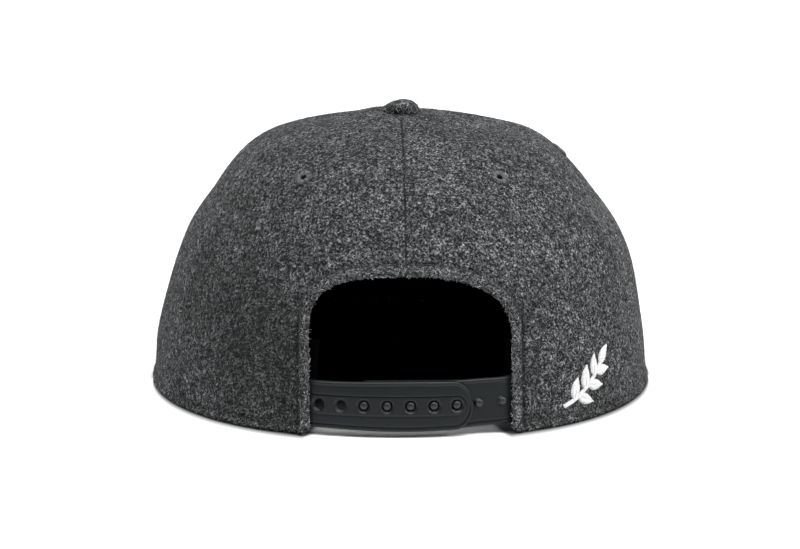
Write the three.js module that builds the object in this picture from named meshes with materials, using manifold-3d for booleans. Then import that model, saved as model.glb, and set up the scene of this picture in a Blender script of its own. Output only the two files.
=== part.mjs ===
// Snapback cap: six wool panels on a flat peak, with an open arch and a plastic snap strap at the back.
// Units are millimetres. +Z is up, +Y is the back of the cap, -Y the peak and +X the wearer's left.
// Azimuths are in degrees about the crown's axis, from the back seam towards the wearer's left.
import * as THREE from 'three';
import Module from 'manifold-3d';

// Crown
const crownHalfWidth = 94;
const crownBackDepth = 99;
const crownFrontDepth = 97;
const crownHeight = 101;
const crownRoundness = 2.1;
const clothThickness = 2;
const topHoleRadius = 2.5;
const seamGap = 0.3;
const seatGap = 0.3;

// Arch over the strap
const archHalfWidth = 36.4;
const archHeight = 56;
const archSideHeight = 35;
const archRoundnessLeft = 3;
const archRoundnessRight = 2.25;
const archShift = -1.6;
const archFootRadius = 4;

// Peak
const peakHalfWidth = 90;
const peakReach = 68;
const peakRoundness = 2.6;
const peakRise = 5;
const peakThickness = 3.8;
const peakTipThickness = 1.6;
const peakTipAzimuth = 108;
const peakTipWidth = 0.6;
const peakTaperAngle = 16;

// Button
const buttonRadius = 6.8;
const buttonHeight = 4.2;
const buttonEdgeHeight = 0.8;
const buttonRoundness = 0.75;
const buttonShankLength = 3.4;

// Eyelets
const eyeletRadius = 3.5;
const eyeletHoleRadius = 1.3;
const eyeletProud = 0.35;
const eyeletHeight = 85.5;

// Sweatband
const sweatbandHeight = 33;
const sweatbandThickness = 1.2;
const sweatbandGap = 0.6;
const sweatbandLift = 2.8;
const sweatbandEasing = 8;
const sweatbandPastArchLeft = 0.4;
const sweatbandPastArchRight = -1.2;

// Snap strap
const strapWidth = 17.6;
const strapTailWidth = 16.4;
const strapLift = 2.4;
const strapThickness = 1.5;
const strapEndLength = 7.2;
const strapTuck = 14;
const strapOverlapEase = 1.5;
const strapRightRise = 0.8;
const strapRiseEase = 6;
const leftTipArc = -24.8;
const snapCount = 7;
const snapsClosed = 5;
const snapPitch = 8.6;
const snapMargin = 6.2;
const postRadius = 1.35;
const postClearance = 0.35;
const countersinkRadius = 2.3;
const countersinkDepth = 0.8;

// Sprig on the right back panel
const sprigAzimuth = -43.5;
const sprigHeight = 14.3;
const sprigLength = 30;
const sprigThread = 0.8;
const stemWidth = 1.3;
const sprigTilt = 20;

// Crown sections from the hem up. Height is a share of crownHeight. Side, back and front are shares of the
// half-width and of the two depths, and lean is a sideways shift as a share of the half-width.
const crownSections = [
  { height: 0, side: 1, back: 1, front: 1, lean: 0 },
  { height: 0.07, side: 0.988, back: 0.99, front: 1, lean: 0 },
  { height: 0.18, side: 0.981, back: 0.97, front: 0.993, lean: 0 },
  { height: 0.32, side: 0.951, back: 0.935, front: 0.975, lean: -0.007 },
  { height: 0.46, side: 0.908, back: 0.885, front: 0.948, lean: -0.014 },
  { height: 0.58, side: 0.851, back: 0.828, front: 0.912, lean: -0.015 },
  { height: 0.69, side: 0.764, back: 0.758, front: 0.86, lean: -0.013 },
  { height: 0.78, side: 0.692, back: 0.68, front: 0.785, lean: -0.009 },
  { height: 0.858, side: 0.61, back: 0.582, front: 0.67, lean: -0.006 },
  { height: 0.913, side: 0.5, back: 0.47, front: 0.51, lean: -0.005 },
  { height: 0.954, side: 0.3, back: 0.32, front: 0.31, lean: -0.006 },
  { height: 0.981, side: 0.14, back: 0.16, front: 0.15, lean: -0.003 },
  { height: 1, side: 0, back: 0, front: 0, lean: 0 },
];

// Soft dents in the cloth. Depth is a share of clothThickness, height and tall are shares of crownHeight,
// azimuth and wide are degrees.
const dents = [
  { azimuth: 33, height: 0.22, wide: 7, tall: 0.2, depth: 0.6 },
  { azimuth: -31, height: 0.2, wide: 6, tall: 0.22, depth: 0.35 },
  { azimuth: 74, height: 0.45, wide: 14, tall: 0.16, depth: 0.3 },
];

const panels = [
  { name: 'back_left', from: 0, to: 66 },
  { name: 'side_left', from: 66, to: 120 },
  { name: 'front_left', from: 120, to: 180 },
  { name: 'front_right', from: -180, to: -120 },
  { name: 'side_right', from: -120, to: -66 },
  { name: 'back_right', from: -66, to: 0 },
];

const eyelets = [
  { name: 'back_left', azimuth: 37 },
  { name: 'side_left', azimuth: 93 },
  { name: 'front_left', azimuth: 150 },
  { name: 'front_right', azimuth: -150 },
  { name: 'side_right', azimuth: -93 },
  { name: 'back_right', azimuth: -34.5 },
];

// Leaves of the sprig. Along is the leaf's foot on the stem, length and width are shares of sprigLength,
// and turn is the angle from the stem in degrees.
const leaves = [
  { along: 0.18, length: 0.26, width: 0.064, turn: 50 },
  { along: 0.26, length: 0.27, width: 0.066, turn: -48 },
  { along: 0.4, length: 0.28, width: 0.068, turn: 46 },
  { along: 0.48, length: 0.27, width: 0.066, turn: -44 },
  { along: 0.62, length: 0.25, width: 0.062, turn: 42 },
  { along: 0.68, length: 0.25, width: 0.062, turn: -40 },
  { along: 0.79, length: 0.26, width: 0.064, turn: 0 },
];

// Facet counts
const panelColumns = 10;
const panelRows = 16;
const peakColumns = 36;
const sweatbandColumns = 44;
const strapStep = 4;
const roundSides = 12;
const snapSides = 10;
const buttonSides = 16;
const leafSteps = 6;

const wasm = await Module();
wasm.setup();

const wool = new THREE.MeshStandardMaterial({ color: 0x4a4b4d, roughness: 0.95, metalness: 0 });
const peakWool = new THREE.MeshStandardMaterial({ color: 0x47484a, roughness: 0.95, metalness: 0 });
const thread = new THREE.MeshStandardMaterial({ color: 0x5c5d60, roughness: 0.8, metalness: 0 });
const whiteThread = new THREE.MeshStandardMaterial({ color: 0xf0f0ee, roughness: 0.5, metalness: 0 });
const blackCotton = new THREE.MeshStandardMaterial({ color: 0x101012, roughness: 0.9, metalness: 0 });
const plastic = new THREE.MeshStandardMaterial({ color: 0x282b2c, roughness: 0.45, metalness: 0 });

const radians = THREE.MathUtils.degToRad;
const smoothstep = THREE.MathUtils.smoothstep;
const lerp = THREE.MathUtils.lerp;

// Depth of the upper strap's outer face below the cloth's outer face.
const strapDepth = clothThickness + seatGap;
const peakFrontY = -(crownFrontDepth + peakReach);

// Crown surface

const profileOf = (column) => new THREE.SplineCurve(
  crownSections.map((section) => new THREE.Vector2(section[column], section.height)),
);
const profiles = {
  side: profileOf('side'),
  back: profileOf('back'),
  front: profileOf('front'),
  lean: profileOf('lean'),
};

// Distance from the axis to a superellipse with the given half-width and depth.
function outlineRadius(azimuth, halfWidth, depth) {
  const across = Math.abs(Math.sin(radians(azimuth))) / halfWidth;
  const along = Math.abs(Math.cos(radians(azimuth))) / depth;
  return (across ** crownRoundness + along ** crownRoundness) ** (-1 / crownRoundness);
}

const growFrom = (hole, size, share) => hole + (size - hole) * Math.max(share, 0);

// Underside of the peak, an arch from side to side that rests on its two side edges.
const peakUnderside = (x) => Math.max(0, peakRise * (1 - (x / peakHalfWidth) ** 2));

function peakThicknessAt(azimuth) {
  const past = smoothstep(Math.abs(azimuth), peakTipAzimuth, peakTipAzimuth + peakTaperAngle);
  return lerp(peakTipThickness, peakThickness, past);
}

// The hem lies on the floor at the sides and back, and climbs onto the peak at the front.
function hemLift(azimuth) {
  const rimX = outlineRadius(azimuth, crownHalfWidth, crownFrontDepth) * Math.sin(radians(azimuth));
  const onPeak = smoothstep(Math.abs(azimuth), peakTipAzimuth - peakTaperAngle, peakTipAzimuth - 1);
  return onPeak * (peakUnderside(rimX) + peakThicknessAt(azimuth) + seatGap);
}

// Point of the smooth outer skin. Share runs from 0 at the hem to 1 at the top hole.
function crownPoint(azimuth, share) {
  const halfWidth = growFrom(topHoleRadius, crownHalfWidth, profiles.side.getPoint(share).x);
  const back = growFrom(topHoleRadius, crownBackDepth, profiles.back.getPoint(share).x);
  const front = growFrom(topHoleRadius, crownFrontDepth, profiles.front.getPoint(share).x);
  const lean = profiles.lean.getPoint(share).x * crownHalfWidth;
  const height = profiles.side.getPoint(share).y;
  const facesBack = Math.cos(radians(azimuth)) > 0;
  const radius = outlineRadius(azimuth, halfWidth, facesBack ? back : front);
  return new THREE.Vector3(
    radius * Math.sin(radians(azimuth)) + lean * Math.abs(Math.sin(radians(azimuth))),
    radius * Math.cos(radians(azimuth)),
    height * crownHeight + hemLift(azimuth) * (1 - height) ** 3,
  );
}

function crownNormal(azimuth, share) {
  const step = 0.004;
  const low = Math.max(share - step, 0);
  const high = Math.min(share + step, 1);
  const around = crownPoint(azimuth + 0.5, share).sub(crownPoint(azimuth - 0.5, share));
  const up = crownPoint(azimuth, high).sub(crownPoint(azimuth, low));
  return up.cross(around).normalize();
}

function dentDepth(azimuth, height) {
  let depth = 0;
  for (const dent of dents) {
    const across = (azimuth - dent.azimuth) / dent.wide;
    const along = (height / crownHeight - dent.height) / dent.tall;
    depth += dent.depth * clothThickness * Math.exp(-(across ** 2) - along ** 2);
  }
  return depth;
}

// Point at a depth below the outer skin, dents included. The hem stays flat at its own height.
const flatHemShare = 0.1;
function skinPoint(azimuth, share, depth) {
  const point = crownPoint(azimuth, share);
  const normal = crownNormal(azimuth, share);
  const inward = depth + dentDepth(azimuth, point.z);
  const hemFlat = Math.min(1, share / flatHemShare);
  return new THREE.Vector3(
    point.x - normal.x * inward,
    point.y - normal.y * inward,
    point.z - normal.z * inward * hemFlat,
  );
}

function shareAtHeight(azimuth, height, depth) {
  let low = 0;
  let high = 0.9;
  for (let step = 0; step < 24; step += 1) {
    const middle = (low + high) / 2;
    if (skinPoint(azimuth, middle, depth).z < height) low = middle;
    else high = middle;
  }
  return (low + high) / 2;
}

// Point inside the wall at a given height above the floor.
function wallPoint(azimuth, height, depth) {
  const point = skinPoint(azimuth, shareAtHeight(azimuth, height, depth), depth);
  point.z = height;
  return point;
}

const wallNormal = (azimuth, height) => crownNormal(azimuth, shareAtHeight(azimuth, height, 0));

// Solids

// A sheet with a thickness: pointAt(column, row, face) gives both faces, and the four edges are closed.
function sheetSolid(columns, rows, pointAt) {
  const positions = [];
  const triangles = [];
  const vertex = (column, row, face) => (face * (rows + 1) + row) * (columns + 1) + column;
  const quad = (a, b, c, d) => triangles.push(a, b, c, a, c, d);
  for (const face of [0, 1]) {
    for (let row = 0; row <= rows; row += 1) {
      for (let column = 0; column <= columns; column += 1) {
        positions.push(...pointAt(column, row, face).toArray());
      }
    }
  }
  for (let row = 0; row < rows; row += 1) {
    for (let column = 0; column < columns; column += 1) {
      const corners = (face) => [
        vertex(column, row, face),
        vertex(column + 1, row, face),
        vertex(column + 1, row + 1, face),
        vertex(column, row + 1, face),
      ];
      quad(...corners(0));
      quad(...corners(1).reverse());
    }
  }
  for (let column = 0; column < columns; column += 1) {
    quad(vertex(column, 0, 1), vertex(column + 1, 0, 1), vertex(column + 1, 0, 0), vertex(column, 0, 0));
    quad(
      vertex(column, rows, 0),
      vertex(column + 1, rows, 0),
      vertex(column + 1, rows, 1),
      vertex(column, rows, 1),
    );
  }
  for (let row = 0; row < rows; row += 1) {
    quad(vertex(0, row, 0), vertex(0, row + 1, 0), vertex(0, row + 1, 1), vertex(0, row, 1));
    quad(
      vertex(columns, row, 1),
      vertex(columns, row + 1, 1),
      vertex(columns, row + 1, 0),
      vertex(columns, row, 0),
    );
  }
  return facingOut(positions, triangles);
}

function signedVolume(positions, triangles) {
  const corner = (index) => new THREE.Vector3().fromArray(positions, index * 3);
  let volume = 0;
  for (let index = 0; index < triangles.length; index += 3) {
    const [a, b, c] = [0, 1, 2].map((offset) => corner(triangles[index + offset]));
    volume += a.dot(b.cross(c)) / 6;
  }
  return volume;
}

function facingOut(positions, triangles) {
  const order = signedVolume(positions, triangles) > 0 ? triangles : triangles.slice().reverse();
  const geometry = new THREE.BufferGeometry();
  geometry.setAttribute('position', new THREE.Float32BufferAttribute(positions, 3));
  geometry.setIndex(order);
  return geometry;
}

// A closed profile of [radius, along] pairs, turned about an axis that passes through a point.
function turnedSolid(profile, centre, axis, sides) {
  const turn = new THREE.Quaternion().setFromUnitVectors(new THREE.Vector3(0, 0, 1), axis);
  const positions = [];
  const triangles = [];
  const onAxis = profile.map(([radius]) => radius === 0);
  const start = [];
  for (const [radius, along] of profile) {
    start.push(positions.length / 3);
    const count = radius === 0 ? 1 : sides;
    for (let side = 0; side < count; side += 1) {
      const angle = (2 * Math.PI * side) / sides;
      const local = new THREE.Vector3(radius * Math.cos(angle), radius * Math.sin(angle), along);
      positions.push(...local.applyQuaternion(turn).add(centre).toArray());
    }
  }
  const links = onAxis[0] ? profile.length - 1 : profile.length;
  for (let ring = 0; ring < links; ring += 1) {
    const next = (ring + 1) % profile.length;
    for (let side = 0; side < sides; side += 1) {
      const follow = (side + 1) % sides;
      const at = (which, turnStep) => start[which] + (onAxis[which] ? 0 : turnStep);
      if (!onAxis[ring]) triangles.push(at(ring, side), at(ring, follow), at(next, follow));
      if (!onAxis[next]) triangles.push(at(ring, side), at(next, follow), at(next, side));
    }
  }
  return facingOut(positions, triangles);
}

const rod = (centre, axis, radius, from, to, sides = roundSides) => turnedSolid(
  [[0, from], [radius, from], [radius, to], [0, to]],
  centre,
  axis,
  sides,
);

function toManifold(geometry) {
  return new wasm.Manifold(new wasm.Mesh({
    numProp: 3,
    vertProperties: new Float32Array(geometry.getAttribute('position').array),
    triVerts: new Uint32Array(geometry.getIndex().array),
  }));
}

function fromManifold(solid) {
  const mesh = solid.getMesh();
  const geometry = new THREE.BufferGeometry();
  geometry.setAttribute('position', new THREE.Float32BufferAttribute(mesh.vertProperties, mesh.numProp));
  geometry.setIndex([...mesh.triVerts]);
  return geometry;
}

const cut = (geometry, tools) => fromManifold(
  tools.reduce((solid, tool) => solid.subtract(toManifold(tool)), toManifold(geometry)),
);
const join = (geometries) => fromManifold(
  geometries.map(toManifold).reduce((solid, other) => solid.add(other)),
);

// Crown panels

function eyeletFrame(azimuth) {
  const share = shareAtHeight(azimuth, eyeletHeight, 0);
  const axis = crownNormal(azimuth, share);
  return { axis, centre: skinPoint(azimuth, share, clothThickness / 2) };
}

function archTool() {
  const outline = new THREE.Shape();
  const segments = 20;
  const footSegments = 3;
  // The cloth's two lower corners are rounded, so the outline widens towards the hem.
  const foot = (side, step) => {
    const angle = (Math.PI / 2) * (step / footSegments);
    const across = archHalfWidth + archFootRadius * (1 - Math.sin(angle));
    outline.lineTo(side * across, archFootRadius * (1 - Math.cos(angle)));
  };
  outline.moveTo(archHalfWidth + archFootRadius, -1);
  for (let step = 0; step <= footSegments; step += 1) foot(1, step);
  for (let step = 0; step <= segments; step += 1) {
    const angle = (Math.PI * step) / segments;
    const roundness = Math.cos(angle) > 0 ? archRoundnessLeft : archRoundnessRight;
    const across = Math.sign(Math.cos(angle)) * Math.abs(Math.cos(angle)) ** (2 / roundness);
    const up = Math.sin(angle) ** (2 / roundness);
    outline.lineTo(archHalfWidth * across, archSideHeight + (archHeight - archSideHeight) * up);
  }
  for (let step = footSegments; step >= 0; step -= 1) foot(-1, step);
  outline.lineTo(-archHalfWidth - archFootRadius, -1);
  const depth = crownBackDepth;
  const prism = new THREE.ExtrudeGeometry(outline, { depth, bevelEnabled: false });
  prism.rotateX(Math.PI / 2);
  prism.translate(archShift, depth + crownBackDepth / 2, 0);
  return welded(prism);
}

// Vertices at the same place become one, as a closed solid needs.
function welded(geometry) {
  const source = geometry.getAttribute('position');
  const places = new Map();
  const positions = [];
  const triangles = [];
  for (let index = 0; index < source.count; index += 1) {
    const point = new THREE.Vector3().fromBufferAttribute(source, index);
    const key = point.toArray().map((value) => value.toFixed(4)).join(' ');
    if (!places.has(key)) {
      places.set(key, positions.length / 3);
      positions.push(...point.toArray());
    }
    triangles.push(places.get(key));
  }
  return facingOut(positions, triangles);
}

function panelSolid({ name, from, to }) {
  const sheet = sheetSolid(panelColumns, panelRows, (column, row, face) => {
    const share = row / panelRows;
    const reach = Math.hypot(...crownPoint((from + to) / 2, share).toArray().slice(0, 2));
    const inset = THREE.MathUtils.radToDeg(Math.asin(Math.min(0.5, seamGap / 2 / reach)));
    const azimuth = lerp(from + inset, to - inset, column / panelColumns);
    return skinPoint(azimuth, share, face * clothThickness);
  });
  const eyelet = eyeletFrame(eyelets.find((entry) => entry.name === name).azimuth);
  const through = clothThickness * 3;
  const hole = rod(eyelet.centre, eyelet.axis, eyeletRadius + seatGap, -through, through);
  return cut(sheet, name.startsWith('back') ? [hole, archTool()] : [hole]);
}

// Button

function buttonSolid() {
  const seat = crownPoint(0, 1).z + seatGap;
  const centre = new THREE.Vector3(0, 0, seat);
  const shank = topHoleRadius - seatGap;
  const profile = [[0, -buttonShankLength], [shank, -buttonShankLength], [shank, 0], [buttonRadius, 0]];
  const steps = 5;
  for (let step = 0; step <= steps; step += 1) {
    const angle = (Math.PI / 2) * (step / steps);
    const radius = step === steps ? 0 : buttonRadius * Math.cos(angle) ** buttonRoundness;
    profile.push([radius, lerp(buttonEdgeHeight, buttonHeight, Math.sin(angle))]);
  }
  return turnedSolid(profile, centre, new THREE.Vector3(0, 0, 1), buttonSides);
}

// Eyelets

function eyeletSolid({ azimuth }) {
  const { axis, centre } = eyeletFrame(azimuth);
  const half = clothThickness / 2 + eyeletProud;
  const crest = (eyeletRadius + eyeletHoleRadius) / 2;
  const profile = [
    [eyeletHoleRadius, -clothThickness / 2],
    [crest, -half],
    [eyeletRadius, -clothThickness / 2],
    [eyeletRadius, clothThickness / 2],
    [crest, half],
    [eyeletHoleRadius, clothThickness / 2],
  ];
  return turnedSolid(profile, centre, axis, roundSides);
}

// Peak

function peakSolid() {
  const rimTip = wallPoint(peakTipAzimuth, 0, clothThickness);
  const centreY = rimTip.y;
  const reach = centreY - peakFrontY;
  // Across the peak from its inner edge to its outer edge, with the outer edge rounded.
  const stations = [
    { across: 0, thick: 1 },
    { across: 0.35, thick: 1 },
    { across: 0.7, thick: 1 },
    { across: 0.965, thick: 1 },
    { across: 0.99, thick: 0.8 },
    { across: 1, thick: 0.35 },
  ];
  return sheetSolid(peakColumns, stations.length - 1, (column, row, face) => {
    const turn = column / peakColumns;
    const azimuth = lerp(peakTipAzimuth, 360 - peakTipAzimuth, turn);
    const inner = crownPoint(azimuth, 0);
    const inward = crownNormal(azimuth, 0).setZ(0).normalize().multiplyScalar(clothThickness);
    inner.sub(inward);
    const angle = Math.PI * turn;
    const outer = new THREE.Vector3(
      peakHalfWidth * Math.sign(Math.cos(angle)) * Math.abs(Math.cos(angle)) ** (2 / peakRoundness),
      centreY - reach * Math.sin(angle) ** (2 / peakRoundness),
      0,
    );
    const away = outer.clone().sub(inner).setZ(0);
    const least = inward.clone().setLength(clothThickness + peakTipWidth);
    if (away.length() < least.length()) outer.copy(inner).add(least);
    const { across, thick } = stations[row];
    const point = inner.clone().lerp(outer, across);
    const wrapped = azimuth > 180 ? azimuth - 360 : azimuth;
    const full = peakThicknessAt(wrapped);
    const middle = peakUnderside(point.x) + full / 2;
    const side = face === 0 ? 1 : -1;
    point.z = middle + (side * full * thick) / 2;
    return point;
  });
}

// Sweatband

// Azimuth at a distance round the wall from the back seam, measured at the strap's middle height.
const strapMiddle = strapLift + strapWidth / 2;
const strapShare = shareAtHeight(0, strapMiddle, 0);
function azimuthAtArc(arc) {
  const steps = 12;
  let azimuth = 0;
  for (let step = 0; step < steps; step += 1) {
    const here = crownPoint(azimuth, strapShare);
    const there = crownPoint(azimuth + 1, strapShare);
    azimuth += arc / steps / here.distanceTo(there);
  }
  return azimuth;
}

// Distance round the wall from the back seam to a side of the arch: 1 is the left, -1 the right.
function archEdgeArc(side) {
  const across = archHalfWidth + side * archShift;
  return crownBackDepth * Math.asin(across / crownBackDepth);
}

function sweatbandSolid() {
  const left = azimuthAtArc(archEdgeArc(1) - sweatbandPastArchLeft);
  const right = azimuthAtArc(-archEdgeArc(-1) + sweatbandPastArchRight);
  const rows = 3;
  const tuckEnd = azimuthAtArc(Math.max(archEdgeArc(1), archEdgeArc(-1)) + strapTuck + seatGap);
  const widen = strapThickness + seatGap;
  return sheetSolid(sweatbandColumns, rows, (column, row, face) => {
    const azimuth = lerp(left, 360 + right, column / sweatbandColumns);
    const wrapped = azimuth > 180 ? azimuth - 360 : azimuth;
    const behindStrap = 1 - smoothstep(Math.abs(wrapped), tuckEnd, tuckEnd + sweatbandEasing);
    const clear = lerp(sweatbandGap, seatGap + widen, behindStrap);
    const depth = clothThickness + clear + face * sweatbandThickness;
    const lift = Math.max(0, hemLift(wrapped) - peakThickness - seatGap);
    return wallPoint(wrapped, lerp(lift + sweatbandLift, sweatbandHeight + lift, row / rows), depth);
  });
}

// Snap strap

const holeArc = (index) => leftTipArc + snapMargin + index * snapPitch;
const rightTipArc = holeArc(snapsClosed - 1) + snapMargin;
const underDepth = strapDepth + strapThickness + seatGap;

// The lower strap comes out level with the upper one and dips under its tip.
function rightStrapDepth(arc) {
  const dip = smoothstep(arc, -archHalfWidth, leftTipArc - strapOverlapEase);
  return lerp(strapDepth, underDepth, dip);
}

const rightStrapRise = (arc) => strapRightRise
  * smoothstep(-arc, -leftTipArc - strapRiseEase, archHalfWidth + strapRiseEase);

// Both halves narrow a little towards their tails.
const strapWidthAt = (arc) => lerp(strapWidth, strapTailWidth, smoothstep(Math.abs(arc), 0, archHalfWidth));

function strapSolid(tipArc, tailArc, depthAt, riseAt) {
  const length = Math.abs(tailArc - tipArc);
  const towardsTail = Math.sign(tailArc - tipArc);
  const stations = [0.02, 0.1, 0.25, 0.45, 0.7, 1].map((share) => share * strapEndLength);
  const straight = Math.ceil((length - strapEndLength) / strapStep);
  for (let step = 1; step <= straight; step += 1) {
    stations.push(strapEndLength + ((length - strapEndLength) * step) / straight);
  }
  const rows = 2;
  return sheetSolid(stations.length - 1, rows, (column, row, face) => {
    const fromTip = stations[column];
    const arc = tipArc + towardsTail * fromTip;
    const round = Math.max(0, 1 - fromTip / strapEndLength);
    const half = (strapWidthAt(arc) / 2) * Math.sqrt(1 - round ** 2);
    const height = strapMiddle + riseAt(arc) + half * ((2 * row) / rows - 1);
    return wallPoint(azimuthAtArc(arc), height, depthAt(arc) + face * strapThickness);
  });
}

function snapFrame(arc, depth, rise) {
  const azimuth = azimuthAtArc(arc);
  const height = strapMiddle + rise;
  return { centre: wallPoint(azimuth, height, depth), axis: wallNormal(azimuth, height) };
}

function strapLeftSolid() {
  const tail = archEdgeArc(1) + strapTuck;
  const band = strapSolid(leftTipArc, tail, () => strapDepth, () => 0);
  const tools = [];
  for (let index = 0; index < snapCount; index += 1) {
    const { centre, axis } = snapFrame(holeArc(index), strapDepth, 0);
    const bore = postRadius + postClearance;
    tools.push(rod(centre, axis, bore, -strapThickness * 2, strapThickness, snapSides));
    tools.push(rod(centre, axis, countersinkRadius, -countersinkDepth, strapThickness, snapSides));
  }
  return cut(band, tools);
}

function strapRightSolid() {
  const tail = -archEdgeArc(-1) - strapTuck;
  const pieces = [strapSolid(rightTipArc, tail, rightStrapDepth, rightStrapRise)];
  for (let index = 0; index < snapCount; index += 1) {
    const arc = holeArc(snapsClosed - 1 - index);
    const { centre, axis } = snapFrame(arc, rightStrapDepth(arc), rightStrapRise(arc));
    const top = seatGap + strapThickness;
    const profile = [
      [0, -strapThickness / 2],
      [postRadius, -strapThickness / 2],
      [postRadius, top - postRadius / 3],
      [postRadius * 0.66, top],
      [0, top],
    ];
    pieces.push(turnedSolid(profile, centre, axis, snapSides));
  }
  return join(pieces);
}

// Sprig

// Place on the panel, from millimetres along and above the sprig's middle.
function sprigPoint(along, above, proud) {
  const height = sprigHeight + above;
  const radius = outlineRadius(sprigAzimuth, crownHalfWidth, crownBackDepth);
  const azimuth = sprigAzimuth - THREE.MathUtils.radToDeg(along / radius);
  const base = wallPoint(azimuth, height, 0);
  return base.addScaledVector(wallNormal(azimuth, height), seatGap + proud);
}

const stemCurve = new THREE.QuadraticBezierCurve(
  new THREE.Vector2(-0.5, -0.08),
  new THREE.Vector2(-0.1, -0.12),
  new THREE.Vector2(0.3, 0.07),
);

// A strip along a line, as wide as widthAt says, laid on the panel.
function stripSolid(columns, lineAt, directionAt, widthAt) {
  const turn = radians(sprigTilt);
  return sheetSolid(columns, 2, (column, row, face) => {
    const share = column / columns;
    const middle = lineAt(share);
    const direction = directionAt(share);
    const offset = (row - 1) * (widthAt(share) / 2);
    const flat = new THREE.Vector2(middle.x - direction.y * offset, middle.y + direction.x * offset);
    flat.rotateAround(new THREE.Vector2(), turn);
    const crown = row === 1 ? 1 : 0.55;
    return sprigPoint(flat.x, flat.y, face === 0 ? sprigThread * crown : 0);
  });
}

function stemSolid() {
  return stripSolid(
    leafSteps,
    (share) => stemCurve.getPoint(share).multiplyScalar(sprigLength),
    (share) => stemCurve.getTangent(share),
    () => stemWidth,
  );
}

function leafSolid({ along, length, width, turn }) {
  const foot = stemCurve.getPoint(along / 0.8).multiplyScalar(sprigLength);
  const direction = stemCurve.getTangent(along / 0.8).rotateAround(new THREE.Vector2(), radians(turn));
  const leafLength = length * sprigLength;
  return stripSolid(
    leafSteps,
    (share) => foot.clone().addScaledVector(direction, share * leafLength),
    () => direction,
    (share) => 0.25 + 2 * width * sprigLength * Math.sin(Math.PI * share ** 0.8) ** 0.8,
  );
}

// Assembly

const cap = new THREE.Group();
// The origin is the middle of the cap's length, from the peak's front to the strap's lower edge.
cap.position.y = -(peakFrontY + wallPoint(0, strapLift, strapDepth).y) / 2;

function addPiece(name, geometry, material) {
  const mesh = new THREE.Mesh(geometry, material);
  mesh.name = name;
  cap.add(mesh);
}

for (const panel of panels) addPiece(`panel_${panel.name}`, panelSolid(panel), wool);
for (const eyelet of eyelets) addPiece(`eyelet_${eyelet.name}`, eyeletSolid(eyelet), thread);
addPiece('button', buttonSolid(), wool);
addPiece('peak', peakSolid(), peakWool);
addPiece('sweatband', sweatbandSolid(), blackCotton);
addPiece('strap_left', strapLeftSolid(), plastic);
addPiece('strap_right', strapRightSolid(), plastic);
addPiece('sprig', join([stemSolid(), ...leaves.map(leafSolid)]), whiteThread);

const model = new THREE.Group();
model.add(cap);

export default model;
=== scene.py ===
# %% [markdown]
# A wool snapback cap, seen from the back.
# The packed solids give every size and place. This script builds the cloth, threads and plastic around them.
# Lengths are in metres. +Z is up, +Y the back of the cap, -Y the peak and +X the wearer's left.

# %% Load the solids
import math

import bmesh
import bpy
import numpy as np
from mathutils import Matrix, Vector


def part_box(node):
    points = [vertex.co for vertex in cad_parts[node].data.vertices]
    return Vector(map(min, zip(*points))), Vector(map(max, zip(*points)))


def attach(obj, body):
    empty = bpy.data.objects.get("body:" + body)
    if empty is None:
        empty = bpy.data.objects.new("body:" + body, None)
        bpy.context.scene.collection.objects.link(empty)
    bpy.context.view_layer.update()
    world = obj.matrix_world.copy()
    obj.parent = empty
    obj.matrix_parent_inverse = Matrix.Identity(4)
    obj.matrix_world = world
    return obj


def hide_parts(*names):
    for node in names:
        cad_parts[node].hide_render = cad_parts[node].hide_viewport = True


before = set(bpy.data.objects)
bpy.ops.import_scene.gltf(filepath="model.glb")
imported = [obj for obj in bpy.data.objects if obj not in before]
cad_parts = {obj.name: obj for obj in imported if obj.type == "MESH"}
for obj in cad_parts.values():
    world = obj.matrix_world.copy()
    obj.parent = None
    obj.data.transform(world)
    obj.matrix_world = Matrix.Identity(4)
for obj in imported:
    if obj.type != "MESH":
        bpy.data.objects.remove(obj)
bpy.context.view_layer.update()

mm = 0.001

# %% [markdown]
# The camera stands behind the cap, a little above it, with a long lens, as a studio photographer would for
# an object this size. Its distance and height come from the outline of the hem and the top of the crown.

# %% Camera
crown_axis_y = sum(corner[1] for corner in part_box("button")) / 2
look_height = 50 * mm
camera_distance = 1400 * mm
camera_elevation = math.radians(12.3)
camera_yaw = math.radians(1.4)
image_width, image_height = 800, 549
focal_pixels = 3695
sensor_width = 36.0
axis_pixel = (400.3, 244.0)

camera_data = bpy.data.cameras.new("camera")
camera = bpy.data.objects.new("camera", camera_data)
bpy.context.scene.collection.objects.link(camera)
camera_data.sensor_width = sensor_width
camera_data.lens = focal_pixels / image_width * sensor_width
camera_data.clip_start = 0.05
camera_back = Vector((
    math.sin(camera_yaw) * math.cos(camera_elevation),
    math.cos(camera_yaw) * math.cos(camera_elevation),
    math.sin(camera_elevation),
))
look_point = Vector((0.0, crown_axis_y, look_height))
camera.location = look_point + camera_back * camera_distance
camera.rotation_euler = camera_back.to_track_quat("Z", "Y").to_euler()
camera_data.shift_x = (image_width / 2 - axis_pixel[0]) / image_width
camera_data.shift_y = (axis_pixel[1] - image_height / 2) / image_width
bpy.context.scene.camera = camera
print("camera at", [round(v, 3) for v in camera.location], "lens", round(camera_data.lens, 1), "mm")

# %% [markdown]
# A plain pale floor and soft light. A broad sky from above gives the top of the crown its lighter grey and
# whitens the floor out to the picture's edge. A lamp stands at each side and a third hangs high over the
# photographer. The one on the right is the strongest, so the left flank is darker and the strap's right
# edges catch a highlight.

# %% Floor and light
scene = bpy.context.scene
scene.view_settings.view_transform = "Standard"
scene.view_settings.look = "None"

world_strength = 0.2
sky_strength = 4.3
sky_softness = 75
world = bpy.data.worlds.new("studio")
scene.world = world
world.use_nodes = True
world.node_tree.nodes["Background"].inputs["Color"].default_value = (1, 1, 1, 1)
world.node_tree.nodes["Background"].inputs["Strength"].default_value = world_strength


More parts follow.
